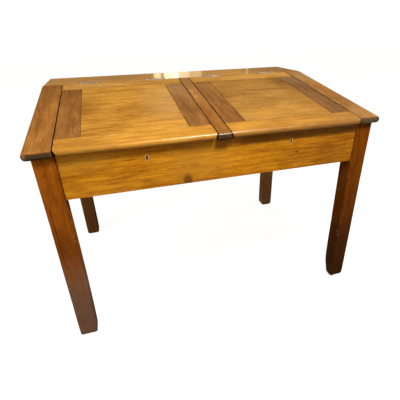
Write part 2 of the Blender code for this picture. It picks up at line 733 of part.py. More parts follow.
def lock_bolt(name, material, side):
    """The bolt that slides sideways through the link, drawn back at rest."""
    tip = KEY_OFFSET + LINK_OFFSET - LINK_THICKNESS / 2 - BOLT_REST_GAP
    shoulder = tip - BOLT_TONGUE_LENGTH
    body = box(
        (side * (shoulder - BOLT_LENGTH), side * shoulder),
        (CAVITY_FRONT + FIT, CAVITY_BACK - FIT),
        (BOLT_Z - BOLT_HEIGHT / 2, BOLT_Z + BOLT_HEIGHT / 2),
    )
    tongue = box(
        (side * (shoulder - OVERLAP), side * tip),
        (BOLT_Y - BOLT_TONGUE_WIDTH / 2, BOLT_Y + BOLT_TONGUE_WIDTH / 2),
        (BOLT_Z - BOLT_TONGUE_HEIGHT / 2, BOLT_Z + BOLT_TONGUE_HEIGHT / 2),
    )
    made = piece(name, material, body, [tongue])
    set_origin(made, side * tip, BOLT_Y, BOLT_Z)


def lock_screws(lid, side, material):
    for number, (x, z) in enumerate(lock_screw_places(side), start=1):
        made = piece(f"lock_{lid}_screw_{number}", material, screw_shape())
        made.location = (x, CAVITY_FRONT, z)
        made.rotation_euler = (-math.pi / 2, 0.0, 0.0)


def link_plate(lid, side, material, screw_material, lid_frame, seat):
    """The plate under the lid's front rail, with the holed link that drops into the lock."""
    x = side * (KEY_OFFSET - LID_CENTRE_X)
    link_x = x + side * LINK_OFFSET
    long, wide = LINK_PLATE_LENGTH / 2, LINK_PLATE_WIDTH / 2
    under = -TOP_THICKNESS
    plate = box((x - long, x + long), (LINK_Y - wide, LINK_Y + wide), (under, under + LINK_PLATE_THICKNESS))
    thick = LINK_THICKNESS / 2
    link = box(
        (link_x - thick, link_x + thick),
        (LINK_Y - LINK_WIDTH / 2, LINK_Y + LINK_WIDTH / 2),
        (LINK_EYE_Z - LINK_EYE_HEIGHT / 2 - LINK_END, under + LINK_PLATE_THICKNESS / 2),
    )
    eye = box(
        (link_x - thick - OVERLAP, link_x + thick + OVERLAP),
        (LINK_Y - LINK_EYE_WIDTH / 2, LINK_Y + LINK_EYE_WIDTH / 2),
        (LINK_EYE_Z - LINK_EYE_HEIGHT / 2, LINK_EYE_Z + LINK_EYE_HEIGHT / 2),
    )
    cuts = [eye]
    for screw_x in link_screw_places():
        through = (under - OVERLAP, under + LINK_PLATE_THICKNESS + OVERLAP)
        cuts.append(rod(SCREW_RADIUS + FIT, "Z", *through, (x + screw_x, LINK_Y), SMALL_SIDES))
    hang(piece(f"lock_{lid}_link_plate", material, plate, [link], cuts), lid_frame, seat)
    for number, screw_x in enumerate(link_screw_places(), start=1):
        made = piece(f"link_{lid}_screw_{number}", screw_material, screw_shape())
        hang(made, lid_frame, (x + screw_x, seat[1] + LINK_Y, seat[2] + under), math.pi)


def build():
    golden = finish("golden_wood", 196, 133, 48, 0.35)
    apron_wood = finish("amber_wood", 188, 118, 26, 0.38)
    brown = finish("brown_wood", 158, 102, 52, 0.32)
    stile_wood = finish("stile_wood", 142, 93, 52, 0.34)
    leg_wood = finish("leg_wood", 118, 68, 24, 0.42)
    inner_wood = finish("inner_wood", 176, 128, 76, 0.60)
    brass = finish("brass", 196, 160, 88, 0.30, 1.0)
    steel = finish("hinge_steel", 128, 124, 116, 0.38, 1.0)

    for lid, side in SIDES.items():
        for end_name, end in (("front", -1), ("back", 1)):
            leg(f"leg_{end_name}_{lid}", leg_wood, side, end)
            front = BACK_APRON_FRONT - FIT - BEARER_SIZE if end > 0 else APRON_REAR + FIT
            floor_bearer(f"floor_bearer_{end_name}_{lid}", inner_wood, side, front)
        side_apron(f"side_apron_{lid}", apron_wood, side)
        floor_board(f"floor_board_{lid}", inner_wood, side)
    front_apron(apron_wood)
    back_apron(apron_wood)
    centre_partition(inner_wood)

    slope_frame = guide("slope_frame", (0.0, HINGE_Y, SHELF_HEIGHT), SLOPE)
    back_shelf(brown)
    centre_divider(brown, slope_frame)
    seat = (0.0, -AXIS_RISE * SIN, -AXIS_RISE * COS)
    lid_frames = {}
    for lid, side in SIDES.items():
        end_cheek(f"end_cheek_{lid}", brown, side, slope_frame)
        axis = (side * LID_CENTRE_X, HINGE_Y, SHELF_HEIGHT + AXIS_RISE)
        lid_frame = guide(f"lid_{lid}_axis", axis, SLOPE)
        lid_frames[lid] = lid_frame
        lid_back_rail(f"lid_{lid}_back_rail", golden, lid_frame, seat)
        lid_front_rail(f"lid_{lid}_front_rail", golden, side, lid_frame, seat)
        lid_stile(f"lid_{lid}_outer_stile", stile_wood, side, lid_frame, seat)
        lid_stile(f"lid_{lid}_inner_stile", stile_wood, -side, lid_frame, seat)
        lid_panel(f"lid_{lid}_panel", golden, lid_frame, seat)

        escutcheon(f"lock_{lid}_escutcheon", brass, side)
        lock_case(f"lock_{lid}_case", steel, side)
        lock_bolt(f"lock_{lid}_bolt", brass, side)
        lock_screws(lid, side, steel)
        link_plate(lid, side, brass, steel, lid_frame, seat)

    for (lid, near), x in hinge_places().items():
        name = f"hinge_{lid}_{near}"
        axis = guide(f"{name}_axis", (x, HINGE_Y, SHELF_HEIGHT + AXIS_RISE))
        hinge_leaf(f"{name}_shelf_leaf", steel, 1, axis, (0.0, 0.0, 0.0))
        hinge_pin(f"{name}_pin", steel, axis)
        along = (x - SIDES[lid] * LID_CENTRE_X, 0.0, 0.0)
        hinge_leaf(f"{name}_lid_leaf", steel, -1, lid_frames[lid], along, -SLOPE)


for old in list(bpy.data.objects):
    bpy.data.objects.remove(old)
build()
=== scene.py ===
# %% [markdown]
# # A twin-lid sloping desk
#
# The real desk seats two people side by side. Each has a sloping lid that lifts on two butt hinges over
# a well for books, and behind the lids runs a flat shelf. The solid parts and their joints come from
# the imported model. This lesson keeps their places and sizes, and gives each one worn edges, real grain
# and an old varnish.

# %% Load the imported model
import json
import math
import random
from dataclasses import dataclass, replace

import bmesh
import bpy
from mathutils import Matrix, Vector, noise


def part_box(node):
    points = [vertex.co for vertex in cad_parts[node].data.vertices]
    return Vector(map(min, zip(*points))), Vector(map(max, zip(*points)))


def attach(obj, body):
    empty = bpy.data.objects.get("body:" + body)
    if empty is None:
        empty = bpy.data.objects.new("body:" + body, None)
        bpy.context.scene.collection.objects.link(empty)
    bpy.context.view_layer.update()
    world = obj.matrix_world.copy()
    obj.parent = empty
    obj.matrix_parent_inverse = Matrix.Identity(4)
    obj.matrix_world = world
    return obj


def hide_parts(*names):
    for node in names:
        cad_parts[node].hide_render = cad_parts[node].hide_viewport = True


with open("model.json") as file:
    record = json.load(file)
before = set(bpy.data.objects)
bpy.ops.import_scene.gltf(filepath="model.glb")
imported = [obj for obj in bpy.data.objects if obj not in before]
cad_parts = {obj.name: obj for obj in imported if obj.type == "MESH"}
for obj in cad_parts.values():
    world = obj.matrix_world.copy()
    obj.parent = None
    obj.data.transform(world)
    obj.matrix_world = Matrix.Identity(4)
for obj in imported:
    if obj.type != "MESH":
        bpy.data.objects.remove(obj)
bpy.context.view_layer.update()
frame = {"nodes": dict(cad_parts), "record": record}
record = frame["record"]
body_of = {node: body for body, nodes in record["behaviour"]["bodies"].items() for node in nodes}

# %% [markdown]
# ## The camera
#
# The photograph was taken from a little above the desk, left of its middle, with a wide lens. The
# place, the angles and the focal length below were fitted to the corners of the real desk in the
# picture. The lens centre is not quite the middle of the picture, so the camera has a small shift.

# %% Place the camera
PICTURE_SIDE = 400
FOCAL_PIXELS = 329.15
LENS_CENTRE = (213.53, 207.22)
SENSOR = 36.0
CAMERA_PLACE = (-0.3379, -1.4252, 1.0582)
TURN_RIGHT = math.radians(16.323)
TILT_DOWN = math.radians(28.539)
ROLL = math.radians(-1.208)

lens = bpy.data.cameras.new("camera")
lens.sensor_width = SENSOR
lens.lens = FOCAL_PIXELS / PICTURE_SIDE * SENSOR
lens.shift_x = (PICTURE_SIDE / 2 - LENS_CENTRE[0]) / PICTURE_SIDE
lens.shift_y = (LENS_CENTRE[1] - PICTURE_SIDE / 2) / PICTURE_SIDE
camera = bpy.data.objects.new("camera", lens)
turn = Matrix.Rotation(-TURN_RIGHT, 4, "Z")
tilt = Matrix.Rotation(math.pi / 2 - TILT_DOWN, 4, "X")
camera.matrix_world = Matrix.Translation(CAMERA_PLACE) @ turn @ tilt @ Matrix.Rotation(ROLL, 4, "Z")
bpy.context.scene.collection.objects.link(camera)
bpy.context.scene.camera = camera
bpy.context.scene.view_settings.view_transform = "Standard"
print("lens", round(lens.lens, 2), "mm")

# %% [markdown]
# ## Nodes as sums
#
# Every finish here is worked out by nodes. Wiring Math nodes one by one hides the idea, so a small
# class wraps a socket and overloads the operators: `1 - mask * 0.5` adds the nodes for that sum. A
# second class adds any other node from its type, its settings and its sockets. Geometry trees use the
# same two classes.

# %% Sockets that take part in sums
def sum_step(operation, swapped=False):
    """A method that adds one Math node. swapped puts the other term first."""

    def method(self, other):
        terms = (other, self) if swapped else (self, other)
        return self.nodes.add("ShaderNodeMath", {"operation": operation}, dict(enumerate(terms)))

    return method


class Reading:
    """One output of a node. A sum written with it adds Math nodes to the same tree."""

    __add__ = sum_step("ADD")
    __radd__ = sum_step("ADD", swapped=True)
    __sub__ = sum_step("SUBTRACT")
    __rsub__ = sum_step("SUBTRACT", swapped=True)
    __mul__ = sum_step("MULTIPLY")
    __rmul__ = sum_step("MULTIPLY", swapped=True)
    __truediv__ = sum_step("DIVIDE")
    __rtruediv__ = sum_step("DIVIDE", swapped=True)
    least = sum_step("MINIMUM")
    most = sum_step("MAXIMUM")

    def __init__(self, nodes, socket):
        self.nodes = nodes
        self.socket = socket

    def wave(self):
        """A sine of the reading in turns, between 0 and 1."""
        sine = self.nodes.add("ShaderNodeMath", {"operation": "SINE"}, {0: self * math.tau})
        return sine * 0.5 + 0.5

    def rise(self, low, high):
        """0 up to low and 1 from high, smooth between. Where high is the lower one, it falls instead."""
        ends = {"Value": self, "From Min": low, "From Max": high}
        return self.nodes.add("ShaderNodeMapRange", {"interpolation_type": "SMOOTHSTEP"}, ends)


# %% A tree that takes nodes by type, settings and sockets
MIX_FACTOR, MIX_FIRST, MIX_SECOND, MIX_RESULT = 0, 6, 7, 2


class Nodes:
    """Adds nodes to one tree and returns what they give."""

    def __init__(self, tree):
        self.tree = tree

    def add(self, kind, settings=None, sockets=None, output=0):
        made = self.tree.nodes.new(kind)
        for setting, value in (settings or {}).items():
            setattr(made, setting, value)
        for key, value in (sockets or {}).items():
            if isinstance(value, Reading):
                self.tree.links.new(value.socket, made.inputs[key])
            else:
                made.inputs[key].default_value = value
        return Reading(self, made.outputs[output])

    def vector(self, operation, *terms):
        return self.add("ShaderNodeVectorMath", {"operation": operation}, dict(enumerate(terms)))

    def length(self, vector):
        return self.add("ShaderNodeVectorMath", {"operation": "LENGTH"}, {0: vector}, output=1)

    def part(self, vector, index):
        return self.add("ShaderNodeSeparateXYZ", None, {0: vector}, output=index)

    def whole(self, x=0.0, y=0.0, z=0.0):
        """A vector from its parts."""
        return self.add("ShaderNodeCombineXYZ", None, {0: x, 1: y, 2: z})

    def mix(self, factor, first, second):
        sockets = {MIX_FACTOR: factor, MIX_FIRST: first, MIX_SECOND: second}
        return self.add("ShaderNodeMix", {"data_type": "RGBA"}, sockets, MIX_RESULT)

    def noise(self, vector, stretch, detail=2.0, roughness=0.5):
        """Cloudy noise between 0 and 1. stretch is the number of clouds to a metre on each axis."""
        spread = self.vector("MULTIPLY", vector, stretch)
        sockets = {"Vector": spread, "Scale": 1.0, "Detail": detail, "Roughness": roughness}
        return self.add("ShaderNodeTexNoise", None, sockets)


# %% A material and its colours
class Finish(Nodes):
    """The nodes of one material. Values that are the same all over go straight to the shader."""

    def __init__(self, name, values=None):
        self.material = bpy.data.materials.new(name)
        self.material.use_nodes = True
        super().__init__(self.material.node_tree)
        self.shader = self.tree.nodes["Principled BSDF"]
        for socket, value in (values or {}).items():
            self.shader.inputs[socket].default_value = value

    def attribute(self, name):
        return self.add("ShaderNodeAttribute", {"attribute_name": name}, output="Vector")

    def end(self, colour, roughness, height, depth, more=None):
        """Links what varies over the surface. depth is the height in metres of a full step of relief."""
        relief = self.add("ShaderNodeBump", None, {"Height": height, "Distance": depth, "Strength": 1.0})
        links = {"Base Color": colour, "Roughness": roughness, "Normal": relief}
        links.update(more or {})
        for socket, reading in links.items():
            self.tree.links.new(reading.socket, self.shader.inputs[socket])
        return self.material

    def end_with(self, shader):
        """Lets another shader take the place of the principled one."""
        self.tree.nodes.remove(self.shader)
        self.tree.links.new(shader.socket, self.tree.nodes["Material Output"].inputs["Surface"])
        return self.material


def paint(red, green, blue):
    """A linear colour from sRGB values in 0 to 255."""
    shares = [channel / 255 for channel in (red, green, blue)]
    return (*[s / 12.92 if s <= 0.04045 else ((s + 0.055) / 1.055) ** 2.4 for s in shares], 1.0)


# %% [markdown]
# ## Wood that is the same all the way through
#
# A board is cut from a tree, so its end shows the rings that its face shows as lines. An image on the
# surface can't do that, but a pattern in space can: rings round a pith that lies off the board, fibres
# stretched along the grain, and pores as short dashes. Each board's mesh carries three attributes: the
# place of each point along, across and through the board, the board's half sizes, and an offset that
# makes every board a different cut. The distance to the nearest arris follows from the first two, and
# that is where old varnish wears and dirt gathers.

# %% How a kind of timber is described
@dataclass
class Timber:
    """The look of one kind of board: sRGB colours, lengths in metres, clouds and bands to a metre."""

    pale: tuple
    deep: tuple
    stain: tuple
    worn: tuple
    ring_pitch: float = 0.009
    ring_weight: float = 0.10
    band_weight: float = 0.90
    bands: tuple = (3.0, 46.0, 46.0)
    fibre_weight: float = 1.5
    cloud_weight: float = 1.0
    clouds: tuple = (4.0, 7.0, 7.0)
    fleck_weight: float = 0.40
    stain_weight: float = 0.40
    grime_reach: float = 0.012
    grime_weight: float = 0.40
    worn_weight: float = 0.45
    side_weight: float = 0.0
    seam: float = 0.0
    roughness: float = 0.34
    relief: float = 0.00016
    shine: float = 0.14


@dataclass
class Nose:
    """A rounded front end: the board's axis it ends, its reach, its colour and how much that covers."""

    axis: int
    reach: float
    colour: tuple
    weight: float
    polish: float = 0.0


# %% Marks at set places on a board
@dataclass
class Mark:
    """Something at a set place on a board's face. stretch is how many times longer than wide it is."""

    kind: str
    along: float
    across: float
    size: float
    stretch: float = 1.0
    weight: float = 1.0
    square: bool = False


# Each kind's colour, its weight, and the shares of its size where it starts and where it is full.
MARK_LOOKS = {
    "spot": ((72, 38, 20), 0.85, 1.2, 0.5),
    "shade": ((104, 64, 28), 0.62, 1.3, 0.1),
    # worn pale edges and chips, and painted glints and highlights
    "wear_and_glint": ((240, 214, 160), 0.75, 1.2, 0.4),
    # painted shadow of the divider's front end on the apron
    "patch": ((104, 52, 10), 0.50, 1.1, 0.9),
    # painted shadow of the right nosing on the apron
    "nosing_shadow": ((60, 28, 4), 0.55, 1.15, 0.85),
    # broad painted shade
    "soft_shade": ((128, 76, 14), 0.50, 1.6, 0.0),
    # broad painted pool of light; the two small ones on the divider are pale figure in its grain
    "glow": ((252, 184, 66), 0.50, 1.6, 0.0),
    # painted sheen of reflected light
    "sheen": ((240, 204, 140), 0.50, 1.6, 0.0),
}
SQUARE_WOBBLE = 0.2
ROUND_WOBBLE = 0.7


def mark_distance(finish, place, mark, wobble):
    """Distance from a mark's middle, as a share of its size, with an uneven rim."""
    offset = finish.vector("SUBTRACT", place, (mark.along, mark.across, 0.0))
    flat = finish.vector("MULTIPLY", offset, (1 / (mark.size * mark.stretch), 1 / mark.size, 0.0))
    if mark.square:
        sides = finish.vector("ABSOLUTE", flat)
        return finish.part(sides, 0).most(finish.part(sides, 1)) + (wobble - 0.5) * SQUARE_WOBBLE
    return finish.length(flat) + (wobble - 0.5) * ROUND_WOBBLE


def set_marks(finish, colour, place, marks, wobble):
    for mark in marks:
        tint, weight, rim, core = MARK_LOOKS[mark.kind]
        far = mark_distance(finish, place, mark, wobble)
        colour = finish.mix(far.rise(rim, core) * (weight * mark.weight), colour, paint(*tint))
    return colour


# %% Grain lines and knots
# How many clouds of each noise there are to a metre along, across and through a board.
RING_WAVER = (5, 40, 40)
FIBRES = (13, 120, 120)
FLECKS = (34, 480, 480)
# Shares of a knot's size: where it starts to bend the rings and bends them fully, how far, and its heart.
KNOT_REACH = (4.0, 0.4)
KNOT_PUSH = 1.3
KNOT_HEART = (1.25, 0.5)


def grain_tone(finish, look, bent, reach):
    """How pale the wood is, about 0 to 1, with its fine fibres and flecks."""
    ring = (reach / look.ring_pitch + finish.noise(bent, RING_WAVER, 2) * 1.6).wave()
    band = finish.noise(bent, look.bands, 4, 0.65)
    cloud = finish.noise(bent, look.clouds, 3, 0.55)
    fibre = finish.noise(bent, FIBRES, 5, 0.7)
    fleck = finish.noise(bent, FLECKS, 2).rise(0.58, 0.67)
    tone = 0.5 + (ring - 0.5) * look.ring_weight + (band - 0.5) * look.band_weight
    tone = tone + (cloud - 0.5) * look.cloud_weight
    tone = tone + (fibre - 0.5) * look.fibre_weight - fleck * look.fleck_weight
    return tone, fibre, fleck


def knot_field(finish, place, knots, wobble):
    """How far the knots push the rings aside, and a mask of their hearts."""
    push, hearts = None, None
    for knot in knots:
        far = mark_distance(finish, place, knot, wobble)
        aside = far.rise(*KNOT_REACH) * (knot.size * KNOT_PUSH)
        heart = far.rise(*KNOT_HEART)
        push = aside if push is None else push + aside
        hearts = heart if hearts is None else hearts.most(heart)
    return push, hearts


# %% Colour of the grain
SWAYS = (2.2, 5, 5)
SWAY_ACROSS = 0.014
SWAY_THROUGH = 0.010
STAIN_PATCHES = (5.5, 9, 9)


def grain_colour(finish, look, place, grain, knots, wobble):
    """The stained grain, its fibres and flecks, and a mask of the knots' hearts."""
    sway = finish.noise(grain, SWAYS, 2) - 0.5
    bent = finish.vector("ADD", grain, finish.whole(y=sway * SWAY_ACROSS, z=sway * SWAY_THROUGH))
    reach = finish.length(finish.vector("MULTIPLY", bent, (0.0, 1.0, 1.0)))
    push, hearts = knot_field(finish, place, knots, wobble)
    if push:
        reach = reach + push
    tone, fibre, fleck = grain_tone(finish, look, bent, reach)
    colour = finish.mix(tone.rise(-0.2, 1.2), paint(*look.deep), paint(*look.pale))
    patch = finish.noise(bent, STAIN_PATCHES, 3, 0.6).rise(0.42, 0.72)
    colour = finish.mix(patch * look.stain_weight, colour, paint(*look.stain))
    return colour, fibre, fleck, hearts


# %% Edges, front ends and gaps
# Metres from an edge or a face: where each effect starts and where it is full.
SIDE_REACH = (0.0010, 0.0003)
SEAM_REACH = (0.0018, 0.0006)
NOSE_POLISH_DEPTH = (0.0055, 0.0035)
GAP_BROWN = paint(40, 22, 12)


def arris_distance(gaps):
    """Metres from the nearest edge between two faces of the board: the middle one of the three gaps."""
    first, second, third = gaps
    return first.least(second).most(first.most(second).least(third))


def front_end(finish, colour, nose, place, half, gaps, uneven):
    """Colours a front end, and says how much polish is left near its upper and lower faces."""
    ahead = finish.part(place, nose.axis) + finish.part(half, nose.axis)
    end = ahead.rise(nose.reach * 1.15, nose.reach * 0.85)
    colour = finish.mix(end * (nose.weight * (0.7 + uneven * 0.5)), colour, paint(*nose.colour))
    return colour, end * gaps[2].rise(*NOSE_POLISH_DEPTH) * nose.polish


def dark_gaps(finish, colour, look, gaps, uneven):
    """Darkens the sides of a board, as painted shade in the gaps beside it, and a dark seam round a panel.
    """
    if look.side_weight:
        colour = finish.mix(gaps[1].rise(*SIDE_REACH) * look.side_weight, colour, GAP_BROWN)
    if look.seam:
        edge = gaps[0].least(gaps[1]) - look.seam
        colour = finish.mix(edge.rise(*SEAM_REACH) * uneven.rise(0.2, 0.5) * 0.6, colour, GAP_BROWN)
    return colour


# %% The timber finish itself
COAT = {"Coat Roughness": 0.24, "Coat IOR": 1.6}
RIM_WOBBLE = (160, 160, 160)
UNEVENNESS = (26, 60, 60)
WORN_PATCHES = (34, 120, 120)
SWELLS = (9, 16, 16)
WEAR_REACH = (0.0042, 0.0006)
BORE_DEPTH = (0.0006, 0.0016)
KNOT_BROWN = paint(112, 62, 14)
BORE_BLACK = paint(8, 5, 3)


def timber(name, look, marks, foot, nose, bores):
    """A varnished wood. foot adds a leg's scuffs, nose the look of a front end, and bores holes whose
    insides are painted nearly black, as painted shade.
    """
    finish = Finish(name, {"Specular IOR Level": look.shine, **COAT})
    place = finish.attribute("board_place")
    half = finish.attribute("board_half")
    grain = finish.vector("ADD", place, finish.attribute("board_seed"))
    gaps = finish.vector("SUBTRACT", half, finish.vector("ABSOLUTE", place))
    gaps = [finish.part(gaps, axis) for axis in range(3)]
    arris = arris_distance(gaps)
    wobble = finish.noise(place, RIM_WOBBLE, 2)
    uneven = finish.noise(grain, UNEVENNESS, 3)
    knots = [mark for mark in marks if mark.kind == "knot"]
    others = [mark for mark in marks if mark.kind != "knot"]

    colour, fibre, fleck, hearts = grain_colour(finish, look, place, grain, knots, wobble)
    grime = arris.rise(look.grime_reach, 0.0) * uneven.rise(0.3, 0.62)
    colour = finish.mix(grime * look.grime_weight, colour, paint(*look.stain))
    more = {}
    if nose:
        colour, more["Coat Weight"] = front_end(finish, colour, nose, place, half, gaps, uneven)
    worn = arris.rise(*WEAR_REACH) * finish.noise(grain, WORN_PATCHES, 3).rise(0.46, 0.60)
    colour = finish.mix(worn * look.worn_weight, colour, paint(*look.worn))
    rough = look.roughness + (uneven - 0.5) * 0.12 + worn * 0.18
    if foot:
        colour, rough = scuffs(finish, colour, rough, place, half, arris, foot)
    colour = set_marks(finish, colour, place, others, wobble)
    if hearts:
        colour = finish.mix(hearts * 0.75, colour, KNOT_BROWN)
    colour = dark_gaps(finish, colour, look, gaps, uneven)
    # Painted shade: the walls of the keyholes through the apron are coloured nearly black.
    for bore in bores:
        inside = mark_distance(finish, place, bore, wobble).rise(1.3, 1.0) * gaps[2].rise(*BORE_DEPTH)
        colour = finish.mix(inside * 0.97, colour, BORE_BLACK)
    height = finish.noise(grain, SWELLS, 2) * 1.6 + fibre * 0.10 - fleck * 0.10
    return finish.end(colour, rough, height, look.relief, more)


# %% [markdown]
# ## Scuffs and chips on the legs
#
# Shoes, brooms and chairs have knocked the legs for a century. Low down the varnish is dull and grey
# with dust, and along the corners small chips show raw pale wood. Both are masks by height above the
# floor, broken up by noise, so no two legs wear alike.

# %% Scuffs by height above the floor
@dataclass
class Foot:
    """The wear of a leg: how high it reaches, its dullness, and how dark it is at the floor, partly dirt
    and partly painted shade.
    """

    height: float
    dull: tuple
    dull_weight: float
    dark: tuple
    dark_weight: float
    chips: float = 0.60


RAW_WOOD = paint(214, 176, 132)
DULL_PATCHES = (16, 70, 70)
CHIP_CELLS = (70, 150, 150)
RARE_PLACES = (23, 55, 55)
CHIP_REACH = (0.016, 0.003)
CHIP_HEIGHTS = (0.75, 0.30)


def scuffs(finish, colour, rough, place, half, arris, foot):
    above = finish.part(place, 0) + finish.part(half, 0)
    # Darker towards the floor: partly dirt, partly painted shade.
    dark = above.rise(foot.height * 1.6, 0.0) * foot.dark_weight
    colour = finish.mix(dark, colour, paint(*foot.dark))
    patchy = finish.noise(place, DULL_PATCHES, 4, 0.65)
    dull = above.rise(foot.height, foot.height * 0.45) * patchy.rise(0.22, 0.50)
    colour = finish.mix(dull * foot.dull_weight, colour, paint(*foot.dull))
    cells = {"Vector": finish.vector("MULTIPLY", place, CHIP_CELLS), "Scale": 1.0}
    cell = finish.add("ShaderNodeTexVoronoi", None, cells)
    rare = finish.noise(place, RARE_PLACES, 1).rise(foot.chips, foot.chips + 0.06)
    chip = cell.rise(0.34, 0.22) * rare * arris.rise(*CHIP_REACH) * above.rise(*CHIP_HEIGHTS)
    colour = finish.mix(chip * 0.85, colour, RAW_WOOD)
    return colour, rough + dull * 0.22 + chip * 0.2


# %% [markdown]
# ## The woods of this desk
#
# Rails, panels and aprons are a golden straight-grained wood under amber varnish. The shelf, the
# cheeks, the divider and the stiles are a browner wood with visible pores, and the legs are darker and
# redder. The insides of the wells never saw varnish. Each timber starts with four colours: its pale and
# its deep grain, its stains and its worn edges. Boards of one kind differ a little, so they are changed
# copies of it. Some changes are painted light: the right panel and the right outer stile are greyer and
# darker for painted sheen and painted shade, and the front left and back legs are paler for painted light.

# %% Golden timbers of the lids and the aprons
golden = Timber((244, 180, 74), (152, 92, 23), (150, 92, 26), (226, 176, 100), clouds=(3.0, 5.0, 5.0))
left_gold = replace(golden, seam=0.008)
# The right panel's copy is greyer and darker: painted sheen and painted shade.
right_gold = replace(left_gold, pale=(221, 163, 81), deep=(130, 86, 33), stain=(130, 85, 34))
left_rail_gold = replace(golden, pale=(250, 187, 78), deep=(164, 102, 29), cloud_weight=0.5)
right_rail_gold = replace(golden, pale=(236, 173, 79), deep=(148, 95, 31), cloud_weight=0.4)
back_gold = replace(golden, pale=(253, 195, 100), deep=(170, 111, 45), cloud_weight=0.4)
amber = Timber(
    (253, 172, 34), (161, 85, 4), (147, 76, 4), (214, 154, 66),
    band_weight=1.25, bands=(6.0, 100.0, 100.0), clouds=(5.0, 12.0, 12.0), shine=0.08,
)

# %% Brown timbers of the shelf, the cheeks, the divider and the stiles
shelf_brown = Timber(
    (232, 166, 84), (172, 112, 48), (152, 98, 44), (222, 172, 110),
    ring_pitch=0.011, stain_weight=0.25, roughness=0.12, relief=0.00003,
)
brown = Timber(
    (208, 142, 67), (136, 84, 34), (130, 80, 34), (208, 156, 98),
    ring_pitch=0.011, side_weight=0.85, roughness=0.30, relief=0.00004,
)
right_brown = replace(brown, pale=(203, 145, 78), deep=(132, 86, 41))
middle_brown = replace(brown, pale=(202, 138, 68), deep=(134, 85, 37))
stile = Timber(
    (192, 131, 66), (128, 80, 34), (112, 70, 32), (192, 142, 90),
    ring_pitch=0.012, side_weight=0.85, roughness=0.34, relief=0.00005,
)
inner_stile = replace(stile, pale=(181, 126, 67), deep=(118, 77, 36))
# The right outer stile's copy is greyer and darker: painted sheen and painted shade.
right_stile = replace(stile, pale=(162, 115, 68), deep=(106, 72, 40))

# %% Timbers of the legs and the wells
right_leg = Timber(
    (168, 90, 17), (102, 50, 6), (86, 42, 8), (170, 108, 54),
    band_weight=1.0, bands=(3.0, 80.0, 80.0), roughness=0.42, shine=0.02,
)
# The front left leg's copy is paler than the front right one's: painted light.
left_leg = replace(right_leg, pale=(214, 121, 29), deep=(140, 72, 13), stain=(104, 52, 11))
left_leg = replace(left_leg, band_weight=0.7, fibre_weight=1.1)
# The back legs stand in the desk's shade, so their woods are paler: painted light.
far_left_leg = Timber(
    (188, 120, 42), (128, 76, 21), (106, 63, 21), (186, 126, 70),
    roughness=0.46, shine=0.05,
)
far_right_leg = replace(far_left_leg, pale=(246, 170, 92), deep=(190, 122, 56))
bare = Timber((196, 152, 98), (158, 114, 66), (120, 84, 50), (206, 168, 116), roughness=0.62)

# %% Front ends and feet
# The dark cheek and divider ends are partly end grain and partly painted shade on their rounding. The
# nosings' colours are painted light and shade: paler on the left lid, darker on the right.
NOSES = {
    "left_cheek": Nose(0, 0.0040, (58, 36, 22), 0.92),
    "divider": Nose(0, 0.0050, (50, 32, 22), 0.95, polish=0.5),
    "right_cheek": Nose(0, 0.0070, (24, 13, 6), 0.96),
    "left_rail": Nose(1, 0.0125, (236, 164, 56), 0.30, polish=0.55),
    "right_rail": Nose(1, 0.0125, (156, 102, 34), 0.50, polish=1.0),
}
faded_foot = Foot(0.30, (112, 84, 62), 0.40, (70, 40, 18), 0.40)
FEET = {
    "leg_front_left": Foot(0.42, (134, 102, 82), 0.88, (88, 50, 22), 0.62, chips=0.62),
    "leg_front_right": Foot(0.42, (76, 50, 34), 0.20, (42, 19, 5), 0.88),
    "leg_back_left": faded_foot,
    "leg_back_right": faded_foot,
}

# %% [markdown]
# ## Knots, stains, wear and painted light
#
# Some marks are landmarks of the real desk: the knot in the front apron, the painted shadow under the right
# nosing, the crack in the left leg, the left panel's spots. Noise can't put them where they are, so
# each has a place on its board, in metres from the middle along and across the grain. Broad faint
# marks paint shade, pools of light and a sheen of reflected light on one end of a board, a square one
# paints the divider's shadow, and small pale ones are wear and painted glints.

# %% Marks on the front apron
apron_marks = [
    Mark("knot", -0.1275, -0.061, 0.0165),
    Mark("spot", -0.12, -0.069, 0.01, 0.9, 0.8),
    Mark("spot", -0.138, -0.068, 0.006, 0.7, 0.5),
    Mark("shade", -0.1265, -0.04, 0.01, 0.6, 0.7),
    Mark("shade", -0.128, -0.054, 0.023, 0.8, 0.8),
    # Painted shadow: the dark strip under the right lid's nosing.
    Mark("nosing_shadow", 0.31, 0.06, 0.0215, 11.5, square=True),
    Mark("shade", -0.137, -0.013, 0.007, 1.0, 0.7),
    Mark("shade", -0.172, -0.015, 0.005, 5.5, 0.7),
    Mark("shade", -0.1, -0.015, 0.0055, 4.0, 0.7),
    Mark("shade", -0.266, -0.045, 0.006, 5.0),
    # Painted shadow of the divider's front end on the apron.
    Mark("patch", 0.002, 0.055, 0.015, 1.9, square=True),
    # Broad painted shade and painted light over the apron's ends and middle.
    Mark("soft_shade", 0.46, -0.03, 0.08, 2.0),
    Mark("soft_shade", 0.26, -0.01, 0.06, 2.0, 0.6),
    Mark("glow", -0.09, 0.0, 0.08, 1.6, 0.7),
    Mark("soft_shade", 0.09, 0.04, 0.05, 2.0, 0.5),
    Mark("glow", -0.4, -0.06, 0.05, 4.0, 0.3),
    Mark("glow", -0.46, 0.05, 0.045, 2.5, 0.85),
    Mark("spot", 0.2832, -0.01, 0.0045),
    Mark("spot", 0.2045, 0.008, 0.002),
]
SIDES = ("left", "right")
BORE_SHARE = 0.6
apron_low, apron_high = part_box("front_apron")
keyhole_bores = []
for side in SIDES:
    low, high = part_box(f"lock_{side}_escutcheon")
    middle = (low + high) / 2 - (apron_low + apron_high) / 2
    keyhole_bores.append(Mark("bore", middle.x, middle.z, (high.z - low.z) * BORE_SHARE))
print("apron marks", len(apron_marks), "keyholes", len(keyhole_bores))
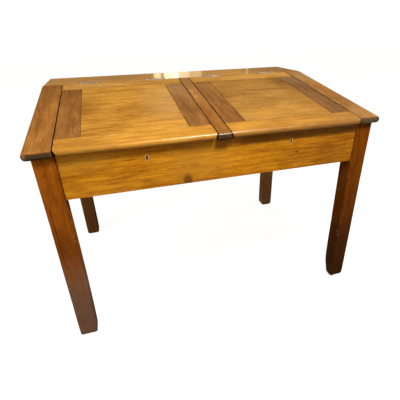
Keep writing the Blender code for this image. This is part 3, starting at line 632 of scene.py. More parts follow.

# %% Marks on the other boards
# On these boards the broad darker marks are painted shade, the broad pale warm ones painted light and the
# pale grey ones a painted sheen.
MARKS = {
    "front_apron": apron_marks,
    "left_panel": [
        Mark("spot", -0.003, -0.085, 0.0036),
        Mark("spot", -0.041, -0.029, 0.003),
        Mark("spot", -0.079, 0.154, 0.0028),
        Mark("spot", -0.077, -0.078, 0.0022),
        Mark("spot", 0.026, 0.023, 0.0022),
        Mark("soft_shade", -0.17, 0.015, 0.11, 0.7),
        Mark("glow", -0.18, -0.13, 0.07, 0.8, 0.4),
        Mark("sheen", 0.14, 0.14, 0.1, 1.0, 0.3),
        Mark("sheen", 0.14, -0.02, 0.15, 0.6, 0.45),
    ],
    "right_panel": [
        Mark("shade", 0.16, 0.17, 0.08, 0.8),
        Mark("soft_shade", 0.15, -0.05, 0.19, 0.4, 0.7),
        Mark("glow", -0.03, -0.17, 0.06, 2.4, 0.4),
    ],
    "left_rail": [
        Mark("wear_and_glint", 0.133, 0.0365, 0.0022, 16.0),
        Mark("glow", 0.06, 0.0, 0.05, 2.5, 0.45),
        Mark("shade", 0.0, -0.026, 0.0045, 60.0, 0.35),
        Mark("soft_shade", -0.21, -0.036, 0.015, 8.0, 0.5),
    ],
    "right_rail": [
        Mark("glow", -0.2, 0.0, 0.05, 2.0, 0.5),
        Mark("soft_shade", 0.2, 0.0, 0.1, 1.6, 0.7),
        Mark("sheen", 0.24, 0.0, 0.06, 1.6, 0.2),
    ],
    "divider": [
        Mark("knot", 0.112, -0.012, 0.004),
        # The two small glows here are pale figure in the grain.
        Mark("glow", 0.122, -0.008, 0.007, 1.6),
        Mark("glow", 0.054, -0.004, 0.006, 2.0),
        Mark("sheen", 0.2, 0.0, 0.1, 1.5, 0.25),
        Mark("soft_shade", -0.25, 0.0, 0.1, 1.0, 0.4),
    ],
    "left_cheek": [Mark("wear_and_glint", -0.308, -0.032, 0.0055, 0.5, 0.2)],
    "right_cheek": [
        Mark("wear_and_glint", 0.094, -0.018, 0.003, 1.5),
        Mark("sheen", 0.24, 0.0, 0.1, 1.0, 0.35),
        Mark("sheen", -0.26, 0.0, 0.1, 1.0, 0.2),
    ],
    "left_inner_stile": [Mark("sheen", 0.19, 0.0, 0.16, 1.0, 0.25)],
    "right_inner_stile": [Mark("soft_shade", -0.2, 0.0, 0.08, 1.0, 0.3)],
    "right_outer_stile": [Mark("sheen", 0.19, 0.0, 0.1, 1.0, 0.25)],
    "shelf": [
        Mark("wear_and_glint", 0.604, -0.08, 0.013, 0.6, 0.8),
        Mark("soft_shade", 0.52, -0.02, 0.15, 1.2, 1.2),
    ],
    "leg_front_left": [
        Mark("spot", 0.07, -0.016, 0.0021, 60.0),
        Mark("spot", 0.307, -0.004, 0.0016, 6.0, 0.8),
        Mark("spot", 0.18, -0.015, 0.0016, 9.0, 0.8),
        Mark("spot", 0.111, 0.002, 0.003, 1.2, 0.6),
        Mark("spot", -0.039, -0.011, 0.005, 0.9, 0.6),
        Mark("spot", -0.18, 0.007, 0.0036, 0.7, 0.8),
        Mark("wear_and_glint", 0.064, 0.032, 0.0016, 2.0),
        Mark("wear_and_glint", -0.11, 0.032, 0.0014, 60.0, 0.3),
    ],
}
print("marks", {key: len(marks) for key, marks in MARKS.items()})

# %% Make the woods
WOODS = {
    "back_rail": ("golden_wood", back_gold),
    "left_panel": ("golden_wood_left", left_gold),
    "right_panel": ("golden_wood_right", right_gold),
    "left_rail": ("nosing_wood_left", left_rail_gold),
    "right_rail": ("nosing_wood_right", right_rail_gold),
    "amber": ("amber_wood", amber),
    "front_apron": ("amber_wood_knotted", amber),
    "shelf": ("shelf_wood", shelf_brown),
    "left_cheek": ("brown_wood_left", brown),
    "right_cheek": ("brown_wood_right", right_brown),
    "divider": ("brown_wood_knotted", middle_brown),
    "left_outer_stile": ("stile_wood_left", stile),
    "left_inner_stile": ("stile_wood_inner_left", inner_stile),
    "right_inner_stile": ("stile_wood_inner_right", inner_stile),
    "right_outer_stile": ("stile_wood_right", right_stile),
    "leg_front_left": ("leg_wood_dusty", left_leg),
    "leg_front_right": ("leg_wood", right_leg),
    "leg_back_left": ("leg_wood_faded", far_left_leg),
    "leg_back_right": ("leg_wood_pale", far_right_leg),
    "bare": ("bare_wood", bare),
}
woods = {}
for key, (name, look) in WOODS.items():
    bores = keyhole_bores if key == "front_apron" else ()
    woods[key] = timber(name, look, MARKS.get(key, ()), FEET.get(key), NOSES.get(key), bores)
print("woods", {key: len(made.node_tree.nodes) for key, made in woods.items()})

# %% [markdown]
# ## Old metal
#
# The hinges and lock cases are dull steel, and the keyhole threads, bolts and link plates are brass.
# Neither has been polished for years: a film of tarnish covers the low places, and only handled edges
# stay bright. Noise decides where the film lies, and it lowers the metal look as well as the shine.

# %% Make the metals
TARNISH_CLOUDS = (180, 180, 180)
SCRATCHES = (2400, 90, 2400)
METAL_RELIEF = 0.00006


def old_metal(name, bright, tarnish, roughness, film, metallic=1.0):
    """A metal whose tarnish covers about the given share of it."""
    finish = Finish(name)
    place = finish.add("ShaderNodeTexCoord", output="Object")
    cloud = finish.noise(place, TARNISH_CLOUDS, 4, 0.6)
    scratch = finish.noise(place, SCRATCHES, 2)
    covered = cloud.rise(0.75 - film, 0.95 - film)
    colour = finish.mix(covered * 0.85, paint(*bright), paint(*tarnish))
    colour = finish.mix(scratch.rise(0.55, 0.75) * 0.2, colour, paint(*bright))
    rough = roughness + covered * 0.25 + (scratch - 0.5) * 0.16
    more = {"Metallic": (1 - covered * 0.55) * metallic}
    return finish.end(colour, rough, cloud * 0.6 + scratch * 0.4, METAL_RELIEF, more)


hinge_steel = old_metal("hinge_steel", (184, 172, 152), (84, 70, 54), 0.42, 0.34, 0.5)
lock_steel = old_metal("lock_steel", (150, 146, 138), (70, 58, 46), 0.38, 0.42)
brass = old_metal("brass", (232, 200, 128), (150, 110, 54), 0.24, 0.26)
# Nearly black brass: painted shade for the keyhole's inner faces.
grimy_brass = old_metal("grimy_brass", (40, 28, 16), (10, 7, 4), 0.70, 0.62, 0.1)
print("metals", [metal.name for metal in (hinge_steel, lock_steel, brass, grimy_brass)])

# %% [markdown]
# ## Boards with softened edges
#
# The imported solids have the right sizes, tongues and pockets, but their edges are razor sharp, and no
# handled board keeps such an edge. A copy of each solid's mesh is welded, its flat faces are joined,
# and its long outward edges get a narrow rounding. Weighted normals then keep the flats flat. The
# alternative, modelling every board again, would only repeat the sizes in a second place.

# %% The way a board lies
SLOPE = math.radians(9.33)
X_WAY = Vector((1.0, 0.0, 0.0))
Y_WAY = Vector((0.0, 1.0, 0.0))
Z_WAY = Vector((0.0, 0.0, 1.0))
UP_SLOPE = Vector((0.0, math.cos(SLOPE), math.sin(SLOPE)))
OFF_SLOPE = Vector((0.0, -math.sin(SLOPE), math.cos(SLOPE)))
LAYS = {
    "flat": (X_WAY, Y_WAY, Z_WAY),
    "crosswise on the slope": (X_WAY, UP_SLOPE, OFF_SLOPE),
    "up the slope": (UP_SLOPE, X_WAY, OFF_SLOPE),
    "upright": (X_WAY, Z_WAY, Y_WAY),
    "upright, front to back": (Y_WAY, Z_WAY, X_WAY),
    "front to back": (Y_WAY, X_WAY, Z_WAY),
    "standing": (Z_WAY, X_WAY, Y_WAY),
}


def lay_grain(mesh, name, lay):
    """Stores each point's place on the board, the board's half sizes and the cut's offset."""
    ways = LAYS[lay]
    places = [Vector([vertex.co.dot(way) for way in ways]) for vertex in mesh.vertices]
    low = Vector([min(axis) for axis in zip(*places)])
    high = Vector([max(axis) for axis in zip(*places)])
    middle = (low + high) / 2
    draw = random.Random(name)
    seed = Vector((draw.uniform(0, 40), draw.uniform(-0.06, 0.06), draw.uniform(0.05, 0.13)))
    stored = {
        "board_place": [place - middle for place in places],
        "board_half": [(high - low) / 2] * len(places),
        "board_seed": [seed] * len(places),
    }
    for attribute, values in stored.items():
        made = mesh.attributes.new(attribute, "FLOAT_VECTOR", "POINT")
        made.data.foreach_set("vector", [number for value in values for number in value])


# %% Meshes, objects and shading
SMOOTH = math.radians(35)


def new_object(name, mesh):
    made = bpy.data.objects.new(name, mesh)
    bpy.context.scene.collection.objects.link(made)
    return made


def object_from(shape, name):
    """Turns a shape in the making into an object."""
    mesh = bpy.data.meshes.new(name)
    shape.to_mesh(mesh)
    shape.free()
    return new_object(name, mesh)


def plain_mesh(made):
    """Applies the object's modifiers and leaves the result as its only mesh."""
    graph = bpy.context.evaluated_depsgraph_get()
    mesh = bpy.data.meshes.new_from_object(made.evaluated_get(graph))
    made.modifiers.clear()
    made.data = mesh


def smooth_roundings(made):
    made.data.shade_smooth()
    made.data.set_sharp_from_angle(angle=SMOOTH)


def even_shading(made):
    """Smooth shading on the roundings, flat shading on the flats."""
    smooth_roundings(made)
    weighted = made.modifiers.new("flats", "WEIGHTED_NORMAL")
    weighted.keep_sharp = True
    plain_mesh(made)


def dress(made, node, material):
    """Gives a piece its finish and lets it stand for its solid."""
    made.data.materials.clear()
    made.data.materials.append(material)
    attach(made, body_of[node])
    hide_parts(node)


# %% Weld and soften a copy of a solid
WELD = 0.000002
FLAT = math.radians(0.4)
SHARP = math.radians(50)
ROUNDING_STEPS = 3
SHORTEST_ARRIS = 0.008


def welded_copy(node):
    shape = bmesh.new()
    shape.from_mesh(frame["nodes"][node].data)
    bmesh.ops.remove_doubles(shape, verts=shape.verts, dist=WELD)
    bmesh.ops.dissolve_limit(shape, angle_limit=FLAT, verts=shape.verts, edges=shape.edges)
    return shape


def soften(shape, rounding, shortest):
    """Rounds the outward edges that are longer than the given length."""
    arrises = []
    for edge in shape.edges:
        if len(edge.link_faces) == 2 and edge.is_convex and edge.calc_length() > shortest:
            if edge.calc_face_angle() > SHARP:
                arrises.append(edge)
    settings = {"offset_type": "OFFSET", "profile": 0.5, "affect": "EDGES", "clamp_overlap": True}
    bmesh.ops.bevel(shape, geom=arrises, offset=rounding, segments=ROUNDING_STEPS, **settings)


def soft_piece(node, rounding, shortest, change=None):
    """A softened copy of a solid as a new object. change may edit the welded shape first."""
    shape = welded_copy(node)
    if change:
        change(shape)
    soften(shape, rounding, shortest)
    made = object_from(shape, node + "_look")
    even_shading(made)
    return made


def board(node, lay, wood, rounding=0.0008, change=None):
    made = soft_piece(node, rounding, SHORTEST_ARRIS, change)
    lay_grain(made.data, node, lay)
    dress(made, node, woods[wood])


# %% [markdown]
# ## The top
#
# Hands and sleeves have worn the top unevenly. The nosings have lost their lower corners, most of all
# at the left lid's left end, and the front ends of the left cheek and of the divider stand out a little
# past them. Each is a small change to the welded copy before its edges are softened, so the roundings
# follow it.

# %% The boards of the top
TOP_THICKNESS = 0.0245
NOSE_WEAR_REACH = 0.030
GAP_WEAR = 0.03
NOSE_LOSSES = {"left": (0.014, 0.009), "right": (0.010, 0.003)}
PROUD_ENDS = {"left": 0.002, "middle": 0.003, "right": 0.0}
OUT_FOR_DOWN = 1.5
AT_END = 0.001


def worn_nosing(side):
    """A change that wears off the lower corners of a nosing's ends, and opens the gaps there a little."""
    low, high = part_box(f"lid_{side}_front_rail")

    def change(shape):
        for edge, inward, loss in zip((low.x, high.x), (1, -1), NOSE_LOSSES[side]):
            corner = [vertex for vertex in shape.verts if abs(vertex.co.x - edge) < AT_END]
            top = max(vertex.co.dot(OFF_SLOPE) for vertex in corner)
            front = min(vertex.co.dot(UP_SLOPE) for vertex in corner)
            for vertex in corner:
                below = (top - vertex.co.dot(OFF_SLOPE)) / TOP_THICKNESS
                ahead = max(0.0, 1 - (vertex.co.dot(UP_SLOPE) - front) / NOSE_WEAR_REACH)
                vertex.co.x += inward * loss * (GAP_WEAR + ahead * below)

    return change


def proud_end(stand):
    """A change that lets the front end of a piece stand out and hang down past the lids beside it."""

    def change(shape):
        front = min(vertex.co.dot(UP_SLOPE) for vertex in shape.verts)
        top = max(vertex.co.dot(OFF_SLOPE) for vertex in shape.verts)
        for vertex in shape.verts:
            if vertex.co.dot(UP_SLOPE) - front < TOP_THICKNESS:
                below = (top - vertex.co.dot(OFF_SLOPE)) / TOP_THICKNESS
                vertex.co -= (UP_SLOPE * OUT_FOR_DOWN + OFF_SLOPE * below) * stand

    return change


board("back_shelf", "flat", "shelf", 0.0010)
board("centre_divider", "up the slope", "divider", 0.0012, proud_end(PROUD_ENDS["middle"]))
for side in SIDES:
    board(f"end_cheek_{side}", "up the slope", f"{side}_cheek", 0.0012, proud_end(PROUD_ENDS[side]))
    board(f"lid_{side}_front_rail", "crosswise on the slope", f"{side}_rail", 0.0010, worn_nosing(side))
    board(f"lid_{side}_back_rail", "crosswise on the slope", "back_rail")
    board(f"lid_{side}_outer_stile", "up the slope", f"{side}_outer_stile", 0.0006)
    board(f"lid_{side}_inner_stile", "up the slope", f"{side}_inner_stile", 0.0006)
    board(f"lid_{side}_panel", "crosswise on the slope", f"{side}_panel", 0.0006)

# %% [markdown]
# ## Aprons and wells
#
# The aprons are wide boards tenoned into the legs. The front one has shrunk over the years, so a dark
# gap shows at its left shoulder. The solid is tight there. The copy's shoulder is moved back by a few
# millimetres, and the tenon still bridges the gap.

# %% Aprons, floors and the partition
SHOULDER_GAP = 0.003
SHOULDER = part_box("leg_front_left")[1].x


def shrink_left_shoulder(shape):
    """Draws the left shoulder of the front apron back from its leg."""
    for vertex in shape.verts:
        if abs(vertex.co.x - SHOULDER) < AT_END:
            vertex.co.x += SHOULDER_GAP


board("front_apron", "upright", "front_apron", 0.0012, shrink_left_shoulder)
board("back_apron", "upright", "amber", 0.0012)
board("centre_partition", "upright, front to back", "bare")
for side in SIDES:
    board(f"side_apron_{side}", "upright, front to back", "amber", 0.0012)
    board(f"floor_board_{side}", "front to back", "bare")
    for end in ("front", "back"):
        board(f"floor_bearer_{end}_{side}", "upright", "bare")
print("front apron gap", SHOULDER_GAP)

# %% [markdown]
# ## Legs
#
# Each leg is a square post that tapers toward the floor, with knocked corners and a foot rounded by
# years of being dragged. The two front legs also spread a little, and each has its own taper. A rule
# gives the section at every height, so the leg is lofted: rounded squares, whose corner radius wanders
# with noise and grows at a few bruises and at the foot. That makes the wear part of the shape.

# %% Heights and worn corners of a leg
@dataclass
class LegShape:
    """The foot's width, how far it stands out, its rounding, and how late down the leg the taper comes."""

    foot_width: float = 0.0625
    splay: float = 0.0
    rounding: float = 0.013
    sweep: float = 1.0


LEG_SHAPES = {
    "leg_front_left": LegShape(0.0585, 0.005, 0.010, 3.0),
    "leg_front_right": LegShape(0.0575, 0.007, 0.018),
    "leg_back_left": LegShape(),
    "leg_back_right": LegShape(),
}
FOOT_STEPS = 6
LEVEL_PITCH = 0.007
CORNER_ROUNDING = 0.0024
CORNER_WANDER = 0.0016
FOOT_WEAR = 0.004
FOOT_WEAR_HEIGHT = 0.05


def leg_heights(top, rounding):
    """Heights of the sections: close together round the foot, then evenly up to the top."""
    turns = [0.5 * math.pi * step / FOOT_STEPS for step in range(FOOT_STEPS)]
    foot = [rounding * (1 - math.cos(turn)) for turn in turns]
    count = round((top - rounding) / LEVEL_PITCH)
    return foot + [rounding + (top - rounding) * step / count for step in range(count + 1)]


def foot_inset(height, rounding):
    """How far the rounding under the foot draws the section in at this height."""
    if height >= rounding:
        return 0.0
    share = 1 - height / rounding
    return rounding * (1 - math.sqrt(1 - share * share))


def corner_radius(height, corner, bruises, offset):
    """The worn rounding of one corner at a height."""
    wander = 0.5 + 0.5 * noise.noise(Vector((height * 11, corner * 7.3, offset)))
    radius = CORNER_ROUNDING + CORNER_WANDER * wander
    radius += FOOT_WEAR * max(0.0, 1 - height / FOOT_WEAR_HEIGHT)
    for place, which, depth, length in bruises:
        if which == corner:
            radius += depth * math.exp(-(((height - place) / length) ** 2))
    return radius


# %% Sections of a leg
CORNER_STEPS = 5
apron_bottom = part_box("front_apron")[0].z


def leg_sides(node, height):
    """The near and the far corner of a leg's section, as (x, y), at a height."""
    form = LEG_SHAPES[node]
    low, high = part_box(node)
    below = max(0.0, 1 - height / apron_bottom)
    taper = (high.x - low.x - form.foot_width) * below**form.sweep
    splay = form.splay * below
    inset = foot_inset(height, form.rounding)
    near = [low.x + inset - splay * (low.x < 0), low.y + inset]
    far = [high.x - inset + splay * (low.x >= 0), high.y - inset]
    for axis in range(2):
        if low[axis] < 0:
            far[axis] -= taper
        else:
            near[axis] += taper
    return near, far


def leg_section(low, high, radii):
    """A square with rounded corners, as (x, y) points anticlockwise from its lower left corner."""
    corners = [(low[0], low[1]), (high[0], low[1]), (high[0], high[1]), (low[0], high[1])]
    points = []
    for corner, (x, y) in enumerate(corners):
        radius = radii[corner]
        centre_x = x + radius if x == low[0] else x - radius
        centre_y = y + radius if y == low[1] else y - radius
        for step in range(CORNER_STEPS + 1):
            angle = math.pi + 0.5 * math.pi * (corner + step / CORNER_STEPS)
            points.append((centre_x + radius * math.cos(angle), centre_y + radius * math.sin(angle)))
    return points


# %% Loft the legs
BRUISES = 9
DRAGGED_FOOT = (0.0, 3, 0.028, 0.060)


def leg_bruises(node):
    """Bruises as (height, corner, depth, length), and an offset into the noise."""
    draw = random.Random(node + " bruises")
    bruises = []
    for _ in range(BRUISES):
        place = draw.uniform(0.02, 0.6)
        corner = draw.randrange(4)
        bruises.append((place, corner, draw.uniform(0.001, 0.003), draw.uniform(0.006, 0.02)))
    offset = draw.uniform(0, 50)
    if node == "leg_front_right":
        bruises.append(DRAGGED_FOOT)
    return bruises, offset


def bridge(shape, rings):
    """Closes a row of rings into one skin."""
    for below, above in zip(rings, rings[1:]):
        for i in range(len(below)):
            shape.faces.new((below[i - 1], below[i], above[i], above[i - 1]))
    shape.faces.new(rings[0])
    shape.faces.new(rings[-1])
    bmesh.ops.recalc_face_normals(shape, faces=shape.faces)


def leg(node):
    """A lofted leg. The tops of the front legs are cut to the slope."""
    low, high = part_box(node)
    bruises, offset = leg_bruises(node)
    shape = bmesh.new()
    rings = []
    for height in leg_heights(high.z, LEG_SHAPES[node].rounding):
        radii = [corner_radius(height, corner, bruises, offset) for corner in range(4)]
        slant = 0.0
        if low.y < 0 and height > apron_bottom:
            slant = (height - apron_bottom) / (high.z - apron_bottom)
        ring = []
        for x, y in leg_section(*leg_sides(node, height), radii):
            ring.append(shape.verts.new((x, y, height - slant * (high.y - y) * math.tan(SLOPE))))
        rings.append(ring)
    bridge(shape, rings)
    made = object_from(shape, node + "_look")
    even_shading(made)
    lay_grain(made.data, node, "standing")
    dress(made, node, woods[node])
    return made


for end in ("front", "back"):
    for side in SIDES:
        made_leg = leg(f"leg_{end}_{side}")
        print(made_leg.name, len(made_leg.data.polygons), "faces")

# %% [markdown]
# ## Hinges
#
# A butt hinge is two plates with rolled knuckles that take turns along a pin. The plates lie in the
# joint, so only the knuckles show while a lid is shut. They are all one shape in a row, which is work
# for Geometry Nodes: a short line is swept with a circle that narrows at both ends, and that barrel is
# set on a point for each knuckle.

# %% A geometry tree with named inputs
class Recipe(Nodes):
    """A geometry tree that turns a mesh of points into finished pieces."""

    def __init__(self, name, lengths, counts=()):
        super().__init__(bpy.data.node_groups.new(name, "GeometryNodeTree"))
        face = self.tree.interface
        for way in ("INPUT", "OUTPUT"):
            face.new_socket("Geometry", in_out=way, socket_type="NodeSocketGeometry")
        kinds = {label: "NodeSocketFloat" for label in lengths}
        kinds.update({label: "NodeSocketInt" for label in counts})
        kinds["Material"] = "NodeSocketMaterial"
        self.keys = {}
        for label, kind in kinds.items():
            self.keys[label] = face.new_socket(label, in_out="INPUT", socket_type=kind).identifier
        self.entry = self.tree.nodes.new("NodeGroupInput")

    def given(self, label):
        return Reading(self, self.entry.outputs[label])

    def end(self, instance, **turned):
        """Sets a copy on each point, makes the copies real, gives them the Material input and closes."""
        sockets = {"Points": self.given("Geometry"), "Instance": instance, **turned}
        copies = self.add("GeometryNodeInstanceOnPoints", None, sockets)
        real = self.add("GeometryNodeRealizeInstances", None, {"Geometry": copies})
        sockets = {"Geometry": real, "Material": self.given("Material")}
        done = self.add("GeometryNodeSetMaterial", None, sockets)
        self.tree.links.new(done.socket, self.tree.nodes.new("NodeGroupOutput").inputs[0])

    def run(self, name, points, values):
        """points is a list of (place, facing). Returns a plain mesh object."""
        mesh = bpy.data.meshes.new(name)
        mesh.from_pydata([place for place, _ in points], [], [])
        facing = mesh.attributes.new("facing", "FLOAT_VECTOR", "POINT")
        facing.data.foreach_set("vector", [number for _, way in points for number in way])
        made = new_object(name, mesh)
        modifier = made.modifiers.new(name, "NODES")
        modifier.node_group = self.tree
        for label, value in values.items():
            modifier[self.keys[label]] = value
        plain_mesh(made)
        smooth_roundings(made)
        return made


# %% A tree for knuckles
KNUCKLE_SIDES = 32
KNUCKLE_RINGS = 40

knuckles = Recipe("knuckles", ("Radius", "Length", "Chamfer"))
radius = knuckles.given("Radius")
length = knuckles.given("Length")
line_ends = {"Start": knuckles.whole(x=length * -0.5), "End": knuckles.whole(x=length * 0.5)}
line = knuckles.add("GeometryNodeCurvePrimitiveLine", None, line_ends)
line = knuckles.add("GeometryNodeResampleCurve", None, {"Curve": line, "Count": KNUCKLE_RINGS})
run = knuckles.add("GeometryNodeSplineParameter", output="Length")
narrowing = (knuckles.given("Chamfer") - run.least(length - run)).most(0.0) / radius
sockets = {"Resolution": KNUCKLE_SIDES, "Radius": radius}
circle = knuckles.add("GeometryNodeCurvePrimitiveCircle", None, sockets)
sockets = {"Curve": line, "Profile Curve": circle, "Scale": 1 - narrowing, "Fill Caps": True}
knuckles.end(knuckles.add("GeometryNodeCurveToMesh", None, sockets))

# %% Knuckles in a row
KNUCKLES = 5
KNUCKLE_RADIUS = 0.004
KNUCKLE_GAP = 0.0003
KNUCKLE_CHAMFER = 0.0005
hinges = [(side, end) for side in SIDES for end in ("outer", "inner")]


def hinge_axis(side, end):
    """The middle of a hinge's pin, and its length."""
    low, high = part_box(f"hinge_{side}_{end}_pin")
    return (low + high) / 2, high.x - low.x


def knuckle_places(side, end, odd):
    """Middles of every other knuckle. The lid's leaf has the odd ones."""
    centre, length = hinge_axis(side, end)
    pitch = length / KNUCKLES
    return [centre + X_WAY * (pitch * (i + 0.5) - length / 2) for i in range(KNUCKLES) if i % 2 == odd]


pin_length = hinge_axis("left", "outer")[1]
knuckle_values = {
    "Radius": KNUCKLE_RADIUS,
    "Length": pin_length / KNUCKLES - KNUCKLE_GAP,
    "Chamfer": KNUCKLE_CHAMFER,
    "Material": hinge_steel,
}
knuckle_sets = {"desk": [], "lid_left": [], "lid_right": []}
for side, end in hinges:
    knuckle_sets["desk"] += knuckle_places(side, end, 0)
    knuckle_sets[f"lid_{side}"] += knuckle_places(side, end, 1)
for body, places in knuckle_sets.items():
    made = knuckles.run(f"hinge_knuckles_{body}", [(place, Z_WAY) for place in places], knuckle_values)
    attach(made, body)
    print(made.name, len(places), "knuckles", len(made.data.polygons), "faces")

# %% [markdown]
# ## Hinge plates
#
# Each plate is stamped from sheet: notched along the top, where the other plate's knuckles pass, and
# pierced for three screws. The outline is drawn as a row of battlements and given its thickness, and
# three holes are cut.

# %% Outline and holes of a plate
LEAF_DEPTH = 0.020
LEAF_NEAR = 0.0003
LEAF_FAR = 0.0023
LEAF_ROUNDING = 0.00025
LEAF_SHORTEST_ARRIS = 0.0015
LEAF_HOLES = 3
HOLE_RADIUS = 0.0024
HOLE_SIDES = 24
HOLE_LENGTH = 0.01
HOLE_DROP = (KNUCKLE_RADIUS + LEAF_DEPTH) / 2
NOTCH_DROP = KNUCKLE_RADIUS + 0.0004


def plate_outline(length, odd):
    """Battlements along the pin, as (x, z) points about the middle of the pin."""
    pitch = length / KNUCKLES
    points = [(-length / 2, -LEAF_DEPTH), (length / 2, -LEAF_DEPTH)]
    for i in reversed(range(KNUCKLES)):
        level = 0.0 if i % 2 == odd else -NOTCH_DROP
        left = -length / 2 + pitch * i
        points += [(left + pitch - KNUCKLE_GAP / 2, level), (left + KNUCKLE_GAP / 2, level)]
    return points


def hole_places(length):
    """Lengths along the pin of a plate's holes."""
    return [length * ((i + 0.5) / LEAF_HOLES - 0.5) for i in range(LEAF_HOLES)]


def cut_holes(made, centres):
    """Cuts round holes along Y through a plate."""
    cutters = bmesh.new()
    rod = {"segments": HOLE_SIDES, "radius1": HOLE_RADIUS, "radius2": HOLE_RADIUS, "depth": HOLE_LENGTH}
    for centre in centres:
        turn = Matrix.Translation(centre) @ Matrix.Rotation(math.pi / 2, 4, "X")
        bmesh.ops.create_cone(cutters, cap_ends=True, matrix=turn, **rod)
    helper = object_from(cutters, "hole_cutters")
    modifier = made.modifiers.new("holes", "BOOLEAN")
    modifier.operation = "DIFFERENCE"
    modifier.solver = "EXACT"
    modifier.object = helper
    plain_mesh(made)
    bpy.data.objects.remove(helper)


# %% Plates with notches and holes
def hinge_plate(side, end, which):
    """One plate: toward the lid in front of the pin, or the shelf behind it. Returns its screws' points."""
    node = f"hinge_{side}_{end}_{which}"
    centre, length = hinge_axis(side, end)
    toward = -1 if which == "lid_leaf" else 1
    outline = plate_outline(length, int(toward < 0))
    shape = bmesh.new()
    rings = []
    for depth in (LEAF_NEAR, LEAF_FAR):
        rings.append([shape.verts.new(centre + Vector((x, toward * depth, z))) for x, z in outline])
    bridge(shape, rings)
    soften(shape, LEAF_ROUNDING, LEAF_SHORTEST_ARRIS)
    made = object_from(shape, node + "_look")
    middle = toward * (LEAF_NEAR + LEAF_FAR) / 2
    holes = [centre + Vector((x, middle, -HOLE_DROP)) for x in hole_places(length)]
    cut_holes(made, holes)
    even_shading(made)
    dress(made, node, hinge_steel)
    to_face = Vector((0.0, middle - toward * LEAF_NEAR, 0.0))
    return [(hole - to_face, Vector((0.0, -toward, 0.0))) for hole in holes]


screw_points = {body: [] for body in knuckle_sets}
for side, end in hinges:
    screw_points["desk"] += hinge_plate(side, end, "shelf_leaf")
    screw_points[f"lid_{side}"] += hinge_plate(side, end, "lid_leaf")
    pin_materials = frame["nodes"][f"hinge_{side}_{end}_pin"].data.materials
    pin_materials.clear()
    pin_materials.append(hinge_steel)
print("screw holes", {body: len(points) for body, points in screw_points.items()})

# %% [markdown]
# ## Screws
#
# Old screws have a single slot, and a joiner seldom lines the slots up. One geometry tree makes them
# all: a flattened ball for the head, a bar cut out of it for the slot, an instance on each point turned
# to face outward, and a random turn with a fixed seed. The hinge screws sink into their holes, and the
# lock screws stand up as round heads. The cut needs the exact solver, because the quick one fails at
# this small size.

# %% One tree for slotted screws
HEAD_SEGMENTS = 24
HEAD_RINGS = 12
BAR_LENGTH = 3

screws = Recipe("slotted_screws", ("Head Radius", "Head Height", "Sink", "Slot Width"), ("Seed",))
head_radius = screws.given("Head Radius")
head_height = screws.given("Head Height")
sink = screws.given("Sink")
sockets = {"Segments": HEAD_SEGMENTS, "Rings": HEAD_RINGS, "Radius": head_radius}
ball = screws.add("GeometryNodeMeshUVSphere", None, sockets)
flat = screws.whole(1.0, 1.0, head_height / head_radius)
sockets = {"Geometry": ball, "Translation": screws.whole(z=sink * -1), "Scale": flat}
head = screws.add("GeometryNodeTransform", None, sockets)
slot_size = screws.whole(head_radius * BAR_LENGTH, screws.given("Slot Width"), head_height)
bar = screws.add("GeometryNodeMeshCube", None, {"Size": slot_size})
sockets = {"Geometry": bar, "Translation": screws.whole(z=head_height - sink)}
bar = screws.add("GeometryNodeTransform", None, sockets)
exact_cut = {"operation": "DIFFERENCE", "solver": "EXACT"}
slotted = screws.add("GeometryNodeMeshBoolean", exact_cut, {"Mesh 1": head, "Mesh 2": bar})
outward = screws.add("GeometryNodeInputNamedAttribute", {"data_type": "FLOAT_VECTOR"}, {"Name": "facing"})
facing = screws.add("FunctionNodeAlignRotationToVector", {"axis": "Z"}, {"Vector": outward})
sockets = {2: 0.0, 3: math.pi, "Seed": screws.given("Seed")}
angle = screws.add("FunctionNodeRandomValue", {"data_type": "FLOAT"}, sockets, output=1)
spin = screws.add("FunctionNodeAxisAngleToRotation", None, {"Axis": (0.0, 0.0, 1.0), "Angle": angle})
sockets = {"Rotation": facing, "Rotate By": spin}
turned = screws.add("FunctionNodeRotateRotation", {"rotation_space": "LOCAL"}, sockets)
screws.end(slotted, Rotation=turned)

# %% Screws of the hinges
SCREW_SEED = 11
HINGE_SCREW = {
    "Head Radius": HOLE_RADIUS - 0.00005,
    "Head Height": 0.0012,
    "Sink": 0.0013,
    "Slot Width": 0.0006,
    "Seed": SCREW_SEED,
    "Material": hinge_steel,
}
for body, points in screw_points.items():
    made = screws.run(f"hinge_screws_{body}", points, HINGE_SCREW)
    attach(made, body)
    print(made.name, len(points), "screws", len(made.data.polygons), "faces")

# %% [markdown]
# ## Locks
#
# Each lid has a small box lock behind the apron. Outside, only a thread of brass round the keyhole
# shows. With the lid up, the case, its slot and the link under the lid come into view. The solids have
# the right shapes, so copies with a fine rounding are enough, and the round-headed screws come from the
# same tree as before.

# %% Lock pieces and their screws
LOCK_ROUNDINGS = {"escutcheon": 0.0003, "case": 0.0004, "bolt": 0.0003, "link_plate": 0.0003}
LOCK_SHORTEST_ARRIS = 0.001
ROUND_SCREW = {
    "Head Radius": 0.0031,
    "Head Height": 0.0016,
    "Sink": 0.0,
    "Slot Width": 0.0007,
    "Seed": SCREW_SEED + 1,
    "Material": lock_steel,
}
HEAD_STANDS = 0.0012
LOOKS_OUT = -0.5


def screw_head(node, facing):
    """The place of a lock screw's head, where its underside meets the plate."""
    low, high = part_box(node)
    axis = max(range(3), key=lambda i: abs(facing[i]))
    place = (low + high) / 2
    place[axis] = high[axis] if facing[axis] > 0 else low[axis]
    return place - facing * HEAD_STANDS, facing


def blacken_inside(made):
    """Gives every face that doesn't look out of the apron a nearly black finish, as painted shade inside
    the keyhole.
    """
    made.data.materials.append(grimy_brass)
    for face in made.data.polygons:
        if face.normal.y > LOOKS_OUT:
            face.material_index = 1


